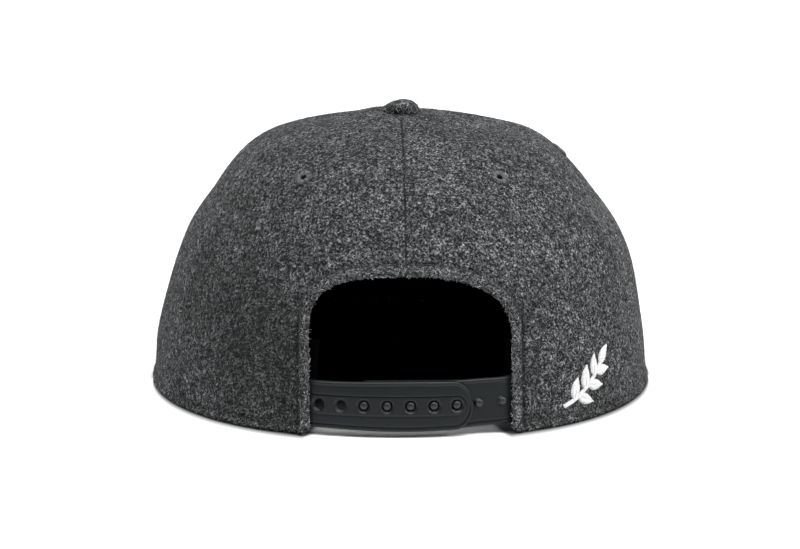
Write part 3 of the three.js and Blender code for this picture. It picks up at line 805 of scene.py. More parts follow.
# %% Geometry Nodes helpers
class Grower:
    """A Geometry Nodes tree with named inputs, built one node at a time."""

    def __init__(self, name, inputs):
        self.tree = bpy.data.node_groups.new(name, "GeometryNodeTree")
        self.tree.interface.new_socket("Geometry", in_out="INPUT", socket_type="NodeSocketGeometry")
        self.names = {}
        for label, kind in inputs.items():
            socket = self.tree.interface.new_socket(label, in_out="INPUT", socket_type=kind)
            self.names[label] = socket.identifier
        self.tree.interface.new_socket("Geometry", in_out="OUTPUT", socket_type="NodeSocketGeometry")
        self.inputs = self.tree.nodes.new("NodeGroupInput").outputs
        self.end = self.tree.nodes.new("NodeGroupOutput")

    def add(self, kind, inputs=None, **settings):
        node = self.tree.nodes.new(kind)
        for name, value in settings.items():
            setattr(node, name, value)
        for name, value in (inputs or {}).items():
            for each in value if isinstance(value, list) else [value]:
                if isinstance(each, bpy.types.NodeSocket):
                    self.tree.links.new(each, node.inputs[name])
                else:
                    node.inputs[name].default_value = each
        return node

    def math(self, kind, first, second=0.0):
        return self.add("ShaderNodeMath", {0: first, 1: second}, operation=kind).outputs[0]

    def random(self, low, high, seed, offset):
        """A random float or vector for each point."""
        mixed = self.math("ADD", seed, offset)
        if isinstance(low, tuple):
            limits, kind, result = {0: low, 1: high}, "FLOAT_VECTOR", 0
        else:
            limits, kind, result = {2: low, 3: high}, "FLOAT", 1
        return self.add("FunctionNodeRandomValue", {**limits, "Seed": mixed}, data_type=kind).outputs[result]

    def attribute(self, name, kind="FLOAT"):
        node = self.add("GeometryNodeInputNamedAttribute", {"Name": name}, data_type=kind)
        return node.outputs["Attribute"]

    def finish(self, instances):
        real = self.add("GeometryNodeRealizeInstances", {"Geometry": instances}).outputs[0]
        done = self.add("GeometryNodeSetMaterial", {"Geometry": real, "Material": self.inputs["Material"]})
        self.tree.links.new(done.outputs[0], self.end.inputs[0])

    def grow(self, name, source, values):
        """Runs the tree on an object and keeps the result as a new mesh."""
        modifier = source.modifiers.new("grow", "NODES")
        modifier.node_group = self.tree
        for label, value in values.items():
            modifier[self.names[label]] = value
        seen = source.evaluated_get(bpy.context.evaluated_depsgraph_get())
        mesh = bpy.data.meshes.new_from_object(seen)
        mesh.name = name
        source.modifiers.remove(modifier)
        return mesh


# %% [markdown]
# A thread is a thin rounded rod, arched a little as a stitch that goes down into the cloth at both ends.
# Each point of the source mesh carries its direction, the way out of the cloth, and its size. Curves with a
# round profile could do the same, but instances of one small rod are lighter.

# %% Thread tree
threads = Grower("threads", {"Arch": "NodeSocketFloat", "Material": "NodeSocketMaterial"})
ball = threads.add("GeometryNodeMeshUVSphere", {"Segments": 6, "Rings": 6, "Radius": 1.0}).outputs["Mesh"]
rod = threads.add("GeometryNodeTransform", {"Geometry": ball, "Rotation": (0, math.pi / 2, 0)}).outputs[0]
place = threads.add("GeometryNodeInputPosition").outputs[0]
along_rod = threads.add("ShaderNodeSeparateXYZ", {0: place}).outputs["X"]
arched = threads.math("SUBTRACT", 1.0, threads.math("MULTIPLY", along_rod, along_rod))
lift = threads.add("ShaderNodeCombineXYZ", {"Z": threads.math("MULTIPLY", arched, threads.inputs["Arch"])})
rod = threads.add("GeometryNodeSetPosition", {"Geometry": rod, "Offset": lift.outputs[0]}).outputs[0]
points = threads.add("GeometryNodeMeshToPoints", {"Mesh": threads.inputs["Geometry"]}).outputs[0]
aim = threads.add(
    "FunctionNodeAlignRotationToVector", {"Vector": threads.attribute("along", "FLOAT_VECTOR")}, axis="X"
).outputs[0]
aim = threads.add(
    "FunctionNodeAlignRotationToVector",
    {"Rotation": aim, "Vector": threads.attribute("out", "FLOAT_VECTOR")},
    axis="Z", pivot_axis="X",
).outputs[0]
threads.finish(threads.add("GeometryNodeInstanceOnPoints", {
    "Points": points, "Instance": rod, "Rotation": aim, "Scale": threads.attribute("size", "FLOAT_VECTOR"),
}).outputs[0])


# %% Thread pieces
def grow_threads(name, centres, along, out, lengths, radius, material, arch=1.0):
    """A mesh of threads. Lengths and radius are in metres, along and out are directions."""
    mesh = bpy.data.meshes.new(f"{name}_points")
    mesh.from_pydata([tuple(v) for v in centres], [], [])
    count = len(centres)
    sizes = np.stack([np.broadcast_to(lengths, count) / 2, *[np.broadcast_to(radius, count)] * 2], axis=-1)
    for label, values in (("along", unit(along)), ("out", unit(out)), ("size", sizes)):
        attribute = mesh.attributes.new(label, "FLOAT_VECTOR", "POINT")
        attribute.data.foreach_set("vector", np.asarray(values, dtype=np.float32).ravel())
    helper = bpy.data.objects.new(f"{name}_points", mesh)
    scene.collection.objects.link(helper)
    grown = threads.grow(name, helper, {"Arch": arch, "Material": material})
    bpy.data.objects.remove(helper)
    bpy.data.meshes.remove(mesh)
    return grown


def joined_object(name, *meshes):
    together = bmesh.new()
    for mesh in meshes:
        together.from_mesh(mesh)
    mesh = bpy.data.meshes.new(name)
    together.to_mesh(mesh)
    together.free()
    for material in meshes[0].materials:
        mesh.materials.append(material)
    mesh.polygons.foreach_set("use_smooth", np.ones(len(mesh.polygons), dtype=bool))
    thing = bpy.data.objects.new(name, mesh)
    scene.collection.objects.link(thing)
    return thing


print("thread tree:", len(threads.tree.nodes), "nodes")

# %% [markdown]
# Fibres of the melange lie on the felt and curl out of it. Three ribbon shapes are bent from a small grid
# and scattered with random turns, tilts, lengths and shades. Hair strands would render as well, but ribbons
# are meshes, which every other program can read.

# %% Fibre tree
fibres = Grower("fibres", {
    "Density": "NodeSocketFloat", "Length": "NodeSocketFloat", "Tilt": "NodeSocketFloat",
    "Lift": "NodeSocketFloat", "Seed": "NodeSocketInt", "Material": "NodeSocketMaterial",
})
shapes = []
for bend, waves, slim in ((0.16, 1.0, 0.09), (0.1, 2.0, 0.075), (0.3, 0.8, 0.085)):
    ribbon = fibres.add("GeometryNodeMeshGrid", {
        "Size X": 1.0, "Size Y": slim, "Vertices X": 5, "Vertices Y": 2,
    }).outputs["Mesh"]
    place = fibres.add("GeometryNodeInputPosition").outputs[0]
    along_fibre = fibres.add("ShaderNodeSeparateXYZ", {0: place}).outputs["X"]
    turn = fibres.math("MULTIPLY", along_fibre, math.pi * waves)
    side = fibres.math("MULTIPLY", fibres.math("COSINE" if waves <= 1 else "SINE", turn), bend)
    half_wave = fibres.math("COSINE", fibres.math("MULTIPLY", along_fibre, math.pi))
    rise = fibres.math("MULTIPLY", half_wave, 0.06)
    shift = fibres.add("ShaderNodeCombineXYZ", {"Y": side, "Z": rise}).outputs[0]
    bent = fibres.add("GeometryNodeSetPosition", {"Geometry": ribbon, "Offset": shift}).outputs[0]
    shapes.append(fibres.add("GeometryNodeGeometryToInstance", {"Geometry": bent}).outputs[0])
seed = fibres.inputs["Seed"]
scatter = fibres.add("GeometryNodeDistributePointsOnFaces", {
    "Mesh": fibres.inputs["Geometry"],
    "Density": fibres.math("MULTIPLY", fibres.inputs["Density"], fibres.attribute("fuzz")),
    "Seed": seed,
}, distribute_method="RANDOM")
out_of_cloth = fibres.add("ShaderNodeVectorMath", {
    0: scatter.outputs["Normal"], "Scale": fibres.inputs["Lift"],
}, operation="SCALE").outputs[0]
lifted = fibres.add("GeometryNodeSetPosition", {
    "Geometry": scatter.outputs["Points"], "Offset": out_of_cloth,
}).outputs[0]
tilt = fibres.random((-1.0, -1.0, 0.0), (1.0, 1.0, 0.0), seed, 1)
tilt = fibres.add("ShaderNodeVectorMath", {
    0: tilt, "Scale": fibres.inputs["Tilt"],
}, operation="SCALE").outputs[0]
spin = fibres.random((0.0, 0.0, 0.0), (0.0, 0.0, 2 * math.pi), seed, 2)
turned = fibres.add("FunctionNodeRotateRotation", {
    "Rotation": scatter.outputs["Rotation"], "Rotate By": spin,
}, rotation_space="LOCAL").outputs[0]
turned = fibres.add("FunctionNodeRotateRotation", {
    "Rotation": turned, "Rotate By": tilt,
}, rotation_space="LOCAL").outputs[0]
length = fibres.math("MULTIPLY", fibres.inputs["Length"], fibres.random(0.55, 1.5, seed, 3))
curls = fibres.add("GeometryNodeInstanceOnPoints", {
    "Points": lifted,
    "Instance": fibres.add("GeometryNodeJoinGeometry", {"Geometry": shapes}).outputs[0],
    "Pick Instance": True,
    "Rotation": turned,
    "Scale": length,
}).outputs[0]
fibres.finish(fibres.add("GeometryNodeStoreNamedAttribute", {
    "Geometry": curls, "Name": "shade", "Value": fibres.random(0.0, 1.0, seed, 4),
}, data_type="FLOAT", domain="INSTANCE").outputs[0])


# %% Fibre pieces
def grow_fibres(name, source, fuzz, density, length, tilt, lift, seed_value):
    """A piece of fibres on a mesh object, as many as the point values in fuzz ask for."""
    attribute = source.data.attributes.new("fuzz", "FLOAT", "POINT")
    attribute.data.foreach_set("value", np.asarray(fuzz, dtype=np.float32))
    mesh = fibres.grow(name, source, {
        "Density": density, "Length": length, "Tilt": tilt, "Lift": lift, "Seed": seed_value,
        "Material": fibre_material,
    })
    source.data.attributes.remove(source.data.attributes["fuzz"])
    thing = bpy.data.objects.new(name, mesh)
    scene.collection.objects.link(thing)
    return finish_piece(thing, "wool")


print("fibre tree:", len(fibres.tree.nodes), "nodes")

# %% [markdown]
# Each panel is a grid between four edges. A Coons patch blends them: for a back panel the four edges are the
# arch, the hem, the side seam and the back seam, so that grid lines follow the turned edge of the arch.
# The grid is drawn on a flat map of the crown, where the azimuth is the angle and the top is the middle.

# %% Panel grids
top_radius_on_map = 0.02


def to_map(azimuth, share):
    radius = 1 - np.asarray(share) * (1 - top_radius_on_map)
    return np.stack([radius * np.sin(np.radians(azimuth)), radius * np.cos(np.radians(azimuth))], axis=-1)


def from_map(place):
    radius = np.hypot(place[..., 0], place[..., 1])
    return np.degrees(np.arctan2(place[..., 0], place[..., 1])), (1 - radius) / (1 - top_radius_on_map)


def edge_spacing(count, length, finest=0.22 * mm, growth=1.22):
    """Grid steps from 0 to 1 that are fine at both edges and even between them."""
    steps = np.full(count, length / count)
    for index in range(count):
        from_edge = min(index, count - 1 - index)
        steps[index] = min(finest * growth ** from_edge, 1.6 * length / count)
    return np.concatenate([[0], np.cumsum(steps)]) / steps.sum()


def coons(left, right, bottom, top, s, t):
    """Blends four edges, given as functions of 0 to 1, into a grid of map places."""
    s_grid, t_grid = np.meshgrid(s, t)
    s_part, t_part = s_grid[..., None], t_grid[..., None]
    corner = {(i, j): (bottom(float(i)) if j == 0 else top(float(i))) for i in (0, 1) for j in (0, 1)}
    return (
        (1 - s_part) * left(t_grid) + s_part * right(t_grid)
        + (1 - t_part) * bottom(s_grid) + t_part * top(s_grid)
        - (1 - s_part) * (1 - t_part) * corner[0, 0] - s_part * (1 - t_part) * corner[1, 0]
        - (1 - s_part) * t_part * corner[0, 1] - s_part * t_part * corner[1, 1]
    )


# %% Edges of the panels
def arch_edge_on_map(side):
    """The arch's outline from the hem to the back seam, as a function of 0 to 1."""
    runs = np.linspace(0, 1, 1201)
    x, z = arch_outline(runs if side > 0 else 1 - runs)
    azimuth = azimuth_at(x, share_at(z))
    keep = azimuth * side >= 0
    first_gone = len(runs) if keep.all() else int(np.argmin(keep))
    place = to_map(azimuth[:first_gone], share_at(z[:first_gone]))
    last_two = slice(first_gone - 1, first_gone + 1)
    end_share = np.interp(0, -azimuth[last_two] * side, share_at(z[last_two]))
    place = np.vstack([place, to_map(0.0, end_share)[None]])
    length = run_lengths(place)
    length /= length[-1]
    return (lambda t: points_at(t, length, place)), end_share


def panel_map(name, start, stop, count_s, count_t):
    """Azimuth and share at each grid point of a panel."""
    inset = math.degrees(0.03 * mm / crown_half_width)
    t = edge_spacing(count_t, 150 * mm)
    if not name.startswith("back"):
        low, high = start + inset, stop - inset
        s = edge_spacing(count_s, math.radians(stop - start) * crown_half_width)
        azimuth = low + (high - low) * s
        return np.meshgrid(azimuth, t)
    side = 1 if name.endswith("left") else -1
    arch_edge, top_share = arch_edge_on_map(side)
    foot_azimuth = from_map(arch_edge(np.array(0.0)))[0]
    far = side * (side_seam - inset)
    turn_in = 0.96

    def back_seam(s):
        up = np.clip(s / turn_in, 0, 1)
        round_hole = np.clip((s - turn_in) / (1 - turn_in), 0, 1)
        return to_map(side * inset + (far - side * inset) * round_hole, top_share + (1 - top_share) * up)

    grid = coons(
        arch_edge,
        lambda t: to_map(far, t),
        lambda s: to_map(foot_azimuth + (far - foot_azimuth) * s, 0 * np.asarray(s)),
        back_seam,
        edge_spacing(count_s, 80 * mm),
        t,
    )
    return from_map(grid)


# %% Mesh helpers
def mesh_object(name, vertices, faces, materials, face_materials=None, smooth=True):
    mesh = bpy.data.meshes.new(name)
    mesh.from_pydata([tuple(v) for v in vertices], [], [tuple(f) for f in faces])
    for material in materials:
        mesh.materials.append(material)
    if face_materials is not None:
        mesh.polygons.foreach_set("material_index", np.asarray(face_materials, dtype=np.int32))
    mesh.polygons.foreach_set("use_smooth", np.full(len(mesh.polygons), smooth))
    mesh.update()
    thing = bpy.data.objects.new(name, mesh)
    scene.collection.objects.link(thing)
    return thing


def finish_piece(thing, slot, *nodes):
    """Every piece rides on the one body and may replace nodes. The slot is not used."""
    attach(thing, "root")
    if nodes:
        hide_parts(*nodes)
    return thing


def points_of(thing):
    return np.array([v.co[:] for v in thing.data.vertices])


def set_pressed(thing, values):
    """Keeps a value for each point: above zero it paints shade and below zero it paints light, and on
    plastic it also lowers or raises the shine.
    """
    attributes = thing.data.attributes
    if "pressed" not in attributes:
        attributes.new("pressed", "FLOAT", "POINT")
    attributes["pressed"].data.foreach_set("value", np.asarray(values, dtype=np.float32))


def pressed_values(thing):
    values = np.zeros(len(thing.data.vertices), dtype=np.float32)
    thing.data.attributes["pressed"].data.foreach_get("value", values)
    return values


print("map:", to_map(0.0, 0.0), to_map(0.0, 1.0))

# %% [markdown]
# A sheet becomes a closed solid with an outer face, an inner face and a rim between them. A hole for an
# eyelet is cut by leaving out the grid cells inside it, and its edge is made round by moving the cells'
# corners onto the circle. A boolean would cut it too, but slower and with long thin faces.


# %% Sheets with thickness and holes
def grid_faces(rows, columns):
    index = np.arange(rows * columns).reshape(rows, columns)
    return np.stack([index[:-1, :-1], index[:-1, 1:], index[1:, 1:], index[1:, :-1]], axis=-1).reshape(-1, 4)


def cut_round_hole(base, faces, centre, radius):
    """Leaves out faces inside a circle and moves the edge that is left onto it."""
    distance = np.linalg.norm(base - centre, axis=1)
    kept = faces[(distance[faces] > radius).sum(axis=1) >= 2]
    gone = faces[(distance[faces] > radius).sum(axis=1) < 2]
    rim = np.intersect1d(kept.ravel(), gone.ravel())
    base[rim] = centre + unit(base[rim] - centre) * radius
    return kept, rim


def boundary_edges(faces):
    """Edges that only one face uses, in that face's direction."""
    edges = np.concatenate([faces[:, [k, (k + 1) % faces.shape[1]]] for k in range(faces.shape[1])])
    keys = np.sort(edges, axis=1)
    _, inverse, counts = np.unique(keys, axis=0, return_inverse=True, return_counts=True)
    return edges[counts[inverse.ravel()] == 1]


def compacted(faces):
    """The points that faces use, and the faces with these points numbered in order."""
    used, numbers = np.unique(faces, return_inverse=True)
    return used, numbers.reshape(faces.shape)


def facing(points, faces, outward):
    """Faces turned so that the middle one faces the way that outward gives for its place."""
    first, second, third = points[faces[len(faces) // 2]][:3]
    normal = np.cross(second - first, third - first)
    return faces if np.dot(normal, outward(first)) >= 0 else faces[:, ::-1]


def thick_sheet(outer, inner, faces):
    """Vertices and faces of a closed sheet. Faces wind so that the outer face points out."""
    used, faces = compacted(faces)
    count = len(used)
    rim = boundary_edges(faces)
    walls = np.stack([rim[:, 1], rim[:, 0], rim[:, 0] + count, rim[:, 1] + count], axis=1)
    vertices = np.concatenate([outer[used], inner[used]])
    return vertices, np.concatenate([faces, faces[:, ::-1] + count, walls]), len(faces), len(faces) * 2


# %% [markdown]
# The crown is six panels of felted wool. The real ones are flat cuts, sewn with their edges turned in.
# Simulating that would leave the outline to chance, so each panel here is its part of the crown's surface
# with the relief, 2 mm thick, black inside, and with a hole for its eyelet.

# %% Crown panels
# Name, first and last azimuth, and the grid's steps around and up.
panels = [
    ("back_left", 0, side_seam, 104, 132),
    ("side_left", side_seam, front_seam, 66, 110),
    ("front_left", front_seam, 180, 70, 110),
    ("front_right", -180, -front_seam, 70, 110),
    ("side_right", -front_seam, -side_seam, 66, 110),
    ("back_right", -side_seam, 0, 104, 132),
]
eyelets = {
    "back_left": 37, "side_left": 93, "front_left": 150,
    "front_right": -150, "side_right": -93, "back_right": -34.5,
}
eyelet_height = 85.5 * mm
eyelet_hole_radius = 1.3 * mm
cut_radius = eyelet_hole_radius * 1.35


def eyelet_centre(name):
    azimuth = np.array(float(eyelets[name]))
    share = share_at(eyelet_height)
    return skin_point(azimuth, share, 0.0), crown_normal(azimuth, np.array(share))


def build_panel(name, start, stop, count_s, count_t):
    azimuth, share = panel_map(name, start, stop, count_s, count_t)
    share = np.clip(share, 0, 1)
    smooth_skin = crown_point(azimuth, share)
    relief, pressed = sewn_relief(azimuth, share, smooth_skin)
    near_arch = distance_to_arch(azimuth, smooth_skin)
    to_edge = np.minimum(smooth_skin[..., 2] - hem_lift(azimuth), near_arch)
    inner_depth = cloth_thickness - 0.5 * lip_radius * np.clip(1 - to_edge / lip_radius, 0, 1) ** 2
    along_view = bell(near_arch, 0, 4 * mm)
    outer = skin_point(azimuth, share, relief, along_view)
    inner = skin_point(azimuth, share, inner_depth, along_view)
    rows, columns = azimuth.shape
    faces = grid_faces(rows, columns)
    outer, inner = outer.reshape(-1, 3), inner.reshape(-1, 3)
    faces = facing(outer, faces, lambda place: place - (0, crown_axis_y, 0))
    centre, normal = eyelet_centre(name)
    faces, rim = cut_round_hole(outer, faces, centre, cut_radius)
    inner[rim] = outer[rim] - normal * cloth_thickness
    vertices, all_faces, outer_count, sheet_count = thick_sheet(outer, inner, faces)
    slots = np.zeros(len(all_faces), dtype=np.int32)
    slots[outer_count:sheet_count] = 1
    panel = mesh_object(f"wool_{name}", vertices, all_faces, [wool, backing], slots)
    # Only the outer face gets the painted shade and light.
    on_outside = pressed.reshape(-1)[np.unique(faces)]
    set_pressed(panel, np.concatenate([on_outside, 0 * on_outside]))
    return finish_piece(panel, "wool", f"panel_{name}")


panel_pieces = {row[0]: build_panel(*row) for row in panels}
for piece in panel_pieces.values():
    print(piece.name, "faces", len(piece.data.polygons))

# %% [markdown]
# A cap's button is a metal disc covered in a scrap of the same wool and riveted through the top hole. The
# cover is gathered underneath, so its dome is low, a little lopsided and dimpled on one side. A turned
# profile gives the body, and a few waves and one dimple give it its lie.

# %% Button
button_seat = section_at(np.array(1.0))[0] * crown_height + seat_gap
button_radius = (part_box("button")[1][0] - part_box("button")[0][0]) / 2
button_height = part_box("button")[1][2] - button_seat
button_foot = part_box("button")[0][2] - button_seat


def polar_mesh(name, profile, count, shape, materials):
    """A closed turned body. Profile rows are (radius, height), and shape moves the points."""
    turn = np.linspace(0, 2 * np.pi, count, endpoint=False)
    rings = [
        np.stack([radius * np.cos(turn), radius * np.sin(turn), np.full(count, height)], axis=-1)
        for radius, height in profile
    ]
    points = np.concatenate([*rings, [[0, 0, profile[0][1]], [0, 0, profile[-1][1]]]])
    bottom, top = len(points) - 2, len(points) - 1
    index = np.arange(len(profile) * count).reshape(len(profile), count)
    after = np.roll(index, -1, axis=1)
    walls = np.stack([index[:-1], after[:-1], after[1:], index[1:]], axis=-1)
    faces = walls.reshape(-1, 4).tolist()
    faces += [(bottom, b, a) for a, b in zip(index[0], after[0])]
    faces += [(top, a, b) for a, b in zip(index[-1], after[-1])]
    return mesh_object(name, shape(points), faces, materials)


def button_shape(points):
    x, y, z = points.T
    turn = np.arctan2(y, x)
    lopsided = 0.05 * np.sin(turn * 2 + 0.8) + 0.03 * np.sin(turn * 5)
    dome = np.clip(z / button_height, 0, 1)
    z = z * (1 - 0.3 * smoothstep(x, -2.0 * mm, 6.5 * mm) * (z > 0))
    dimple = 1.2 * mm * bell(x, 1.6 * mm, 1.7 * mm) * bell(y, 4.6 * mm, 1.5 * mm)
    folds = 0.12 * mm * np.sin(turn * 11) * bell(z, 0.8 * mm, 0.8 * mm)
    away = np.hypot(x, y) > button_radius * 0.5
    scale = 1 + lopsided * 0.4 * away - folds / button_radius
    return np.stack([x * scale, y * scale + crown_axis_y, z - dimple * dome + button_seat], axis=-1)


shank = top_hole_radius - seat_gap
widest_height = 0.8 * mm
button_profile = [
    (0.3 * mm, button_foot),
    (shank, button_foot),
    (shank, 0.1 * mm),
    (button_radius * 0.9, -0.35 * mm),
]
for angle in np.linspace(-0.9, np.pi / 2 - 0.05, 22):
    if angle < 0:
        radius = button_radius * (1 - 0.04 * abs(math.sin(angle)))
        height = widest_height + (widest_height + 0.25 * mm) * math.sin(angle)
    else:
        radius = button_radius * math.cos(angle) ** 0.72
        height = widest_height + (button_height - widest_height) * math.sin(angle)
    button_profile.append((radius, height))
button = polar_mesh("wool_button", button_profile, 56, button_shape, [wool])
x, y, z = (points_of(button) - (0, crown_axis_y, button_seat)).T
# The whole button is a little darker, and shade is painted low on its back, on the wearer's left, by the
# dimple.
painted_shade_side = 0.5 * bell(x, 1.8 * mm, 2.6 * mm) * bell(z, 1.6 * mm, 1.5 * mm) * (y > 0)
set_pressed(button, 0.12 + painted_shade_side)
finish_piece(button, "wool", "button")
print("button:", len(button.data.polygons), "faces")

# %% [markdown]
# Eyelets on a wool cap are sewn, not punched: a ring of thread is wound over the edge of a small hole. Here
# rods of thread lie like spokes over a plain ring, on the outer side and on the inner side.

# %% Eyelets
eyelet_radius = 3.5 * mm
eyelet_proud = 0.35 * mm
spokes = 30
spoke_radius = 0.27 * mm


def build_eyelet(name):
    centre, axis = eyelet_centre(name)
    side = unit(np.cross((0, 0, 1.0), axis))
    up = np.cross(axis, side)
    outer_face, inner_face = eyelet_proud * 0.4, -cloth_thickness - eyelet_proud * 0.4
    steps = np.linspace(0, 2 * np.pi, 12, endpoint=False)
    middle, reach = (eyelet_radius + eyelet_hole_radius) / 2, (eyelet_radius - eyelet_hole_radius) / 2
    depth = (outer_face - inner_face) / 2
    turn = np.linspace(0, 2 * np.pi, 36, endpoint=False)
    points, faces = [], []
    for ring, a in enumerate(turn):
        out = math.cos(a) * side + math.sin(a) * up
        for step, b in enumerate(steps):
            radius = middle + reach * 0.97 * math.cos(b)
            level = (outer_face + inner_face) / 2 + depth * math.sin(b)
            points.append(centre + out * radius + axis * level)
            here, there = ring * len(steps), (ring + 1) % len(turn) * len(steps)
            follow = (step + 1) % len(steps)
            faces.append((here + step, there + step, there + follow, here + follow))
    # The ring under the spokes is dark thread, which paints shade into the gaps between the spokes.
    body = mesh_object(f"thread_eyelet_{name}_body", points, faces, [dark_thread, grey_thread])
    angle = np.linspace(0, 2 * np.pi, spokes, endpoint=False)
    angle = angle + 0.05 * np.sin(angle * 7)
    out = np.cos(angle)[:, None] * side + np.sin(angle)[:, None] * up
    length = 2 * reach * (1.1 + 0.16 * np.sin(angle * 11 + 1))
    meshes = [body.data]
    for face, way in ((outer_face * 0.3, 1), (inner_face, -1)):
        centres = centre + out * (middle - 0.12 * mm) + axis * face
        meshes.append(grow_threads(
            f"spokes_{name}", centres, out, np.broadcast_to(axis * way, out.shape), length,
            spoke_radius, grey_thread, arch=1.8,
        ))
    eyelet = joined_object(f"thread_eyelet_{name}", *meshes)
    slots = np.ones(len(eyelet.data.polygons), dtype=np.int32)
    slots[:len(body.data.polygons)] = 0
    eyelet.data.polygons.foreach_set("material_index", slots)
    bpy.data.objects.remove(body)
    return finish_piece(eyelet, "grey_thread", f"eyelet_{name}")


eyelet_pieces = [build_eyelet(name) for name in eyelets]
print("eyelets:", [len(piece.data.polygons) for piece in eyelet_pieces])

# %% [markdown]
# The arch and the hem are topstitched. The thread is as dark as the wool and sinks into its groove, so on
# the real cap only a row of small dimples shows. Each stitch is a thread of its own between two dimples, as
# a painted line wouldn't catch the light.

# %% Topstitching
stitch_radius = 0.2 * mm
stitch_length = stitch_pitch * 0.86
stitch_sink = 0.12 * mm


def spaced(points, pitch):
    """Places and directions along a line of points, a pitch apart."""
    length = run_lengths(points)
    count = max(2, int(round(length[-1] / pitch)))
    at = (np.arange(count) + 0.5) * length[-1] / count
    step = pitch * 0.3
    behind, places, ahead = (points_at(at + shift, length, points) for shift in (-step, 0, step))
    return places, unit(ahead - behind)


def stitch_row(name, azimuth, share):
    smooth_skin = crown_point(azimuth, share)
    depth, _ = sewn_relief(azimuth, share, smooth_skin)
    line = skin_point(azimuth, share, depth)
    places, along = spaced(line, stitch_pitch)
    from_axis = np.degrees(np.arctan2(places[:, 0], places[:, 1] - crown_axis_y))
    out = crown_normal(from_axis, share_at(places[:, 2]))
    centres = places - out * stitch_sink
    mesh = grow_threads(name, centres, along, out, stitch_length, stitch_radius, dark_thread, 0.8)
    print(name, len(centres), "stitches")
    return joined_object(name, mesh)


arch_runs = np.linspace(0.01, 0.99, 400)
row_x, row_z = arch_outline(arch_runs, arch_stitch_inset)
row_share = share_at(row_z)
finish_piece(stitch_row("thread_arch_row", azimuth_at(row_x, row_share), row_share), "grey_thread")
for side, label in ((1, "left"), (-1, "right")):
    hem_share = share_at(np.array(hem_stitch_inset))
    start = azimuth_at(np.array(arch_shift + side * (arch_half_width + arch_stitch_inset)), hem_share)
    row_azimuth = np.linspace(start, side * (peak_tip_azimuth - peak_taper_angle), 300)
    row = stitch_row(f"thread_hem_row_{label}", row_azimuth, np.full(300, float(hem_share)))
    finish_piece(row, "grey_thread")

# %% [markdown]
# The peak is a stiff board covered with the same wool, curved side to side and sewn in rows that follow its
# front edge. It faces away in this view, so it's kept plain: rows of grooves with a stitch between dimples.
# Its grid runs from the crown's wall to the front edge, so that the rows follow grid lines.

# %% Peak outline
peak_roundness = 2.6
peak_tip_width = 0.6 * mm
peak_rows = [4 * mm + 8 * mm * row for row in range(7)]
peak_edge_length = 420 * mm


def share_at_wall(azimuth, height, depth):
    """Share of the table where a place inside the wall reaches a height above the floor."""
    def short(share):
        return skin_point(azimuth, share, depth)[..., 2] < height
    return halved(0.0, 0.9, short, np.shape(azimuth), 24)


def wall_point(azimuth, height, depth):
    """Point inside the crown's wall at a height above the floor."""
    azimuth, height, depth = np.broadcast_arrays(*(np.asarray(v, float) for v in (azimuth, height, depth)))
    point = skin_point(azimuth, share_at_wall(azimuth, height, depth), depth)
    point[..., 2] = height
    return point


peak_centre_y = wall_point(peak_tip_azimuth, 0.0, cloth_thickness)[..., 1]
peak_length = peak_centre_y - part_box("peak")[0][1]


def peak_lines(turn):
    """Inner and outer edge of the peak in plan, at a share of the way round."""
    azimuth = peak_tip_azimuth + (360 - 2 * peak_tip_azimuth) * turn
    inward = crown_normal(azimuth, 0 * turn)
    inward[..., 2] = 0
    inward = unit(inward)
    inner = crown_point(azimuth, 0 * turn) - inward * cloth_thickness
    inner[..., 2] = 0
    angle = np.pi * turn
    outer = np.stack([
        peak_half_width * np.sign(np.cos(angle)) * np.abs(np.cos(angle)) ** (2 / peak_roundness),
        peak_centre_y - peak_length * np.sin(angle) ** (2 / peak_roundness),
        0 * turn,
    ], axis=-1)
    least = cloth_thickness + peak_tip_width
    short = np.linalg.norm(outer - inner, axis=-1, keepdims=True) < least
    return azimuth, inner, np.where(short, inner + inward * least, outer)


def peak_point(turn, across, side):
    """Point of the peak's upper (1) or lower (-1) face, with its rounded edge and its sewn grooves."""
    azimuth, inner, outer = peak_lines(turn)
    point = inner + (outer - inner) * across[..., None]
    wrapped = np.where(azimuth > 180, azimuth - 360, azimuth)
    full = peak_thickness_at(wrapped)
    to_edge = (1 - across) * np.linalg.norm(outer - inner, axis=-1)
    half = full / 2
    edge = np.clip(1 - to_edge / half, 0, 1)
    thick = half * np.sqrt(np.clip(1 - edge ** 2.4, 0.0, 1))
    dimple = np.cos(2 * np.pi * turn * peak_edge_length / stitch_pitch)
    for row in peak_rows:
        thick = thick - bell(to_edge, row, 0.7 * mm) * (0.3 * mm + 0.15 * mm * dimple)
    point[..., 2] = peak_underside(point[..., 0]) + full / 2 + side * thick
    return point


print("peak:", round(peak_length / mm), "mm from its tips to its front")

# %% Peak
peak_turn = 0.5 - 0.5 * np.cos(np.pi * np.linspace(0, 1, 181))
peak_turn = (peak_turn + np.linspace(0, 1, 181)) / 2
peak_across = 1 - np.linspace(1, 0, 60) ** 1.5
turn_grid, across_grid = np.meshgrid(peak_turn, peak_across)
peak_faces = grid_faces(*turn_grid.shape)
upper = peak_point(turn_grid, across_grid, 1).reshape(-1, 3)
lower = peak_point(turn_grid, across_grid, -1).reshape(-1, 3)
peak_faces = facing(upper, peak_faces, lambda place: (0, 0, 1))
peak_vertices, all_peak_faces, _, peak_sheet_count = thick_sheet(upper, lower, peak_faces)
peak_slots = np.zeros(len(all_peak_faces), dtype=np.int32)
inner_edge = (all_peak_faces % (len(peak_vertices) // 2) < len(peak_turn)).all(axis=1)
peak_slots[peak_sheet_count:] = inner_edge[peak_sheet_count:]
peak = mesh_object("wool_peak", peak_vertices, all_peak_faces, [wool, backing], peak_slots)
finish_piece(peak, "wool", "peak")

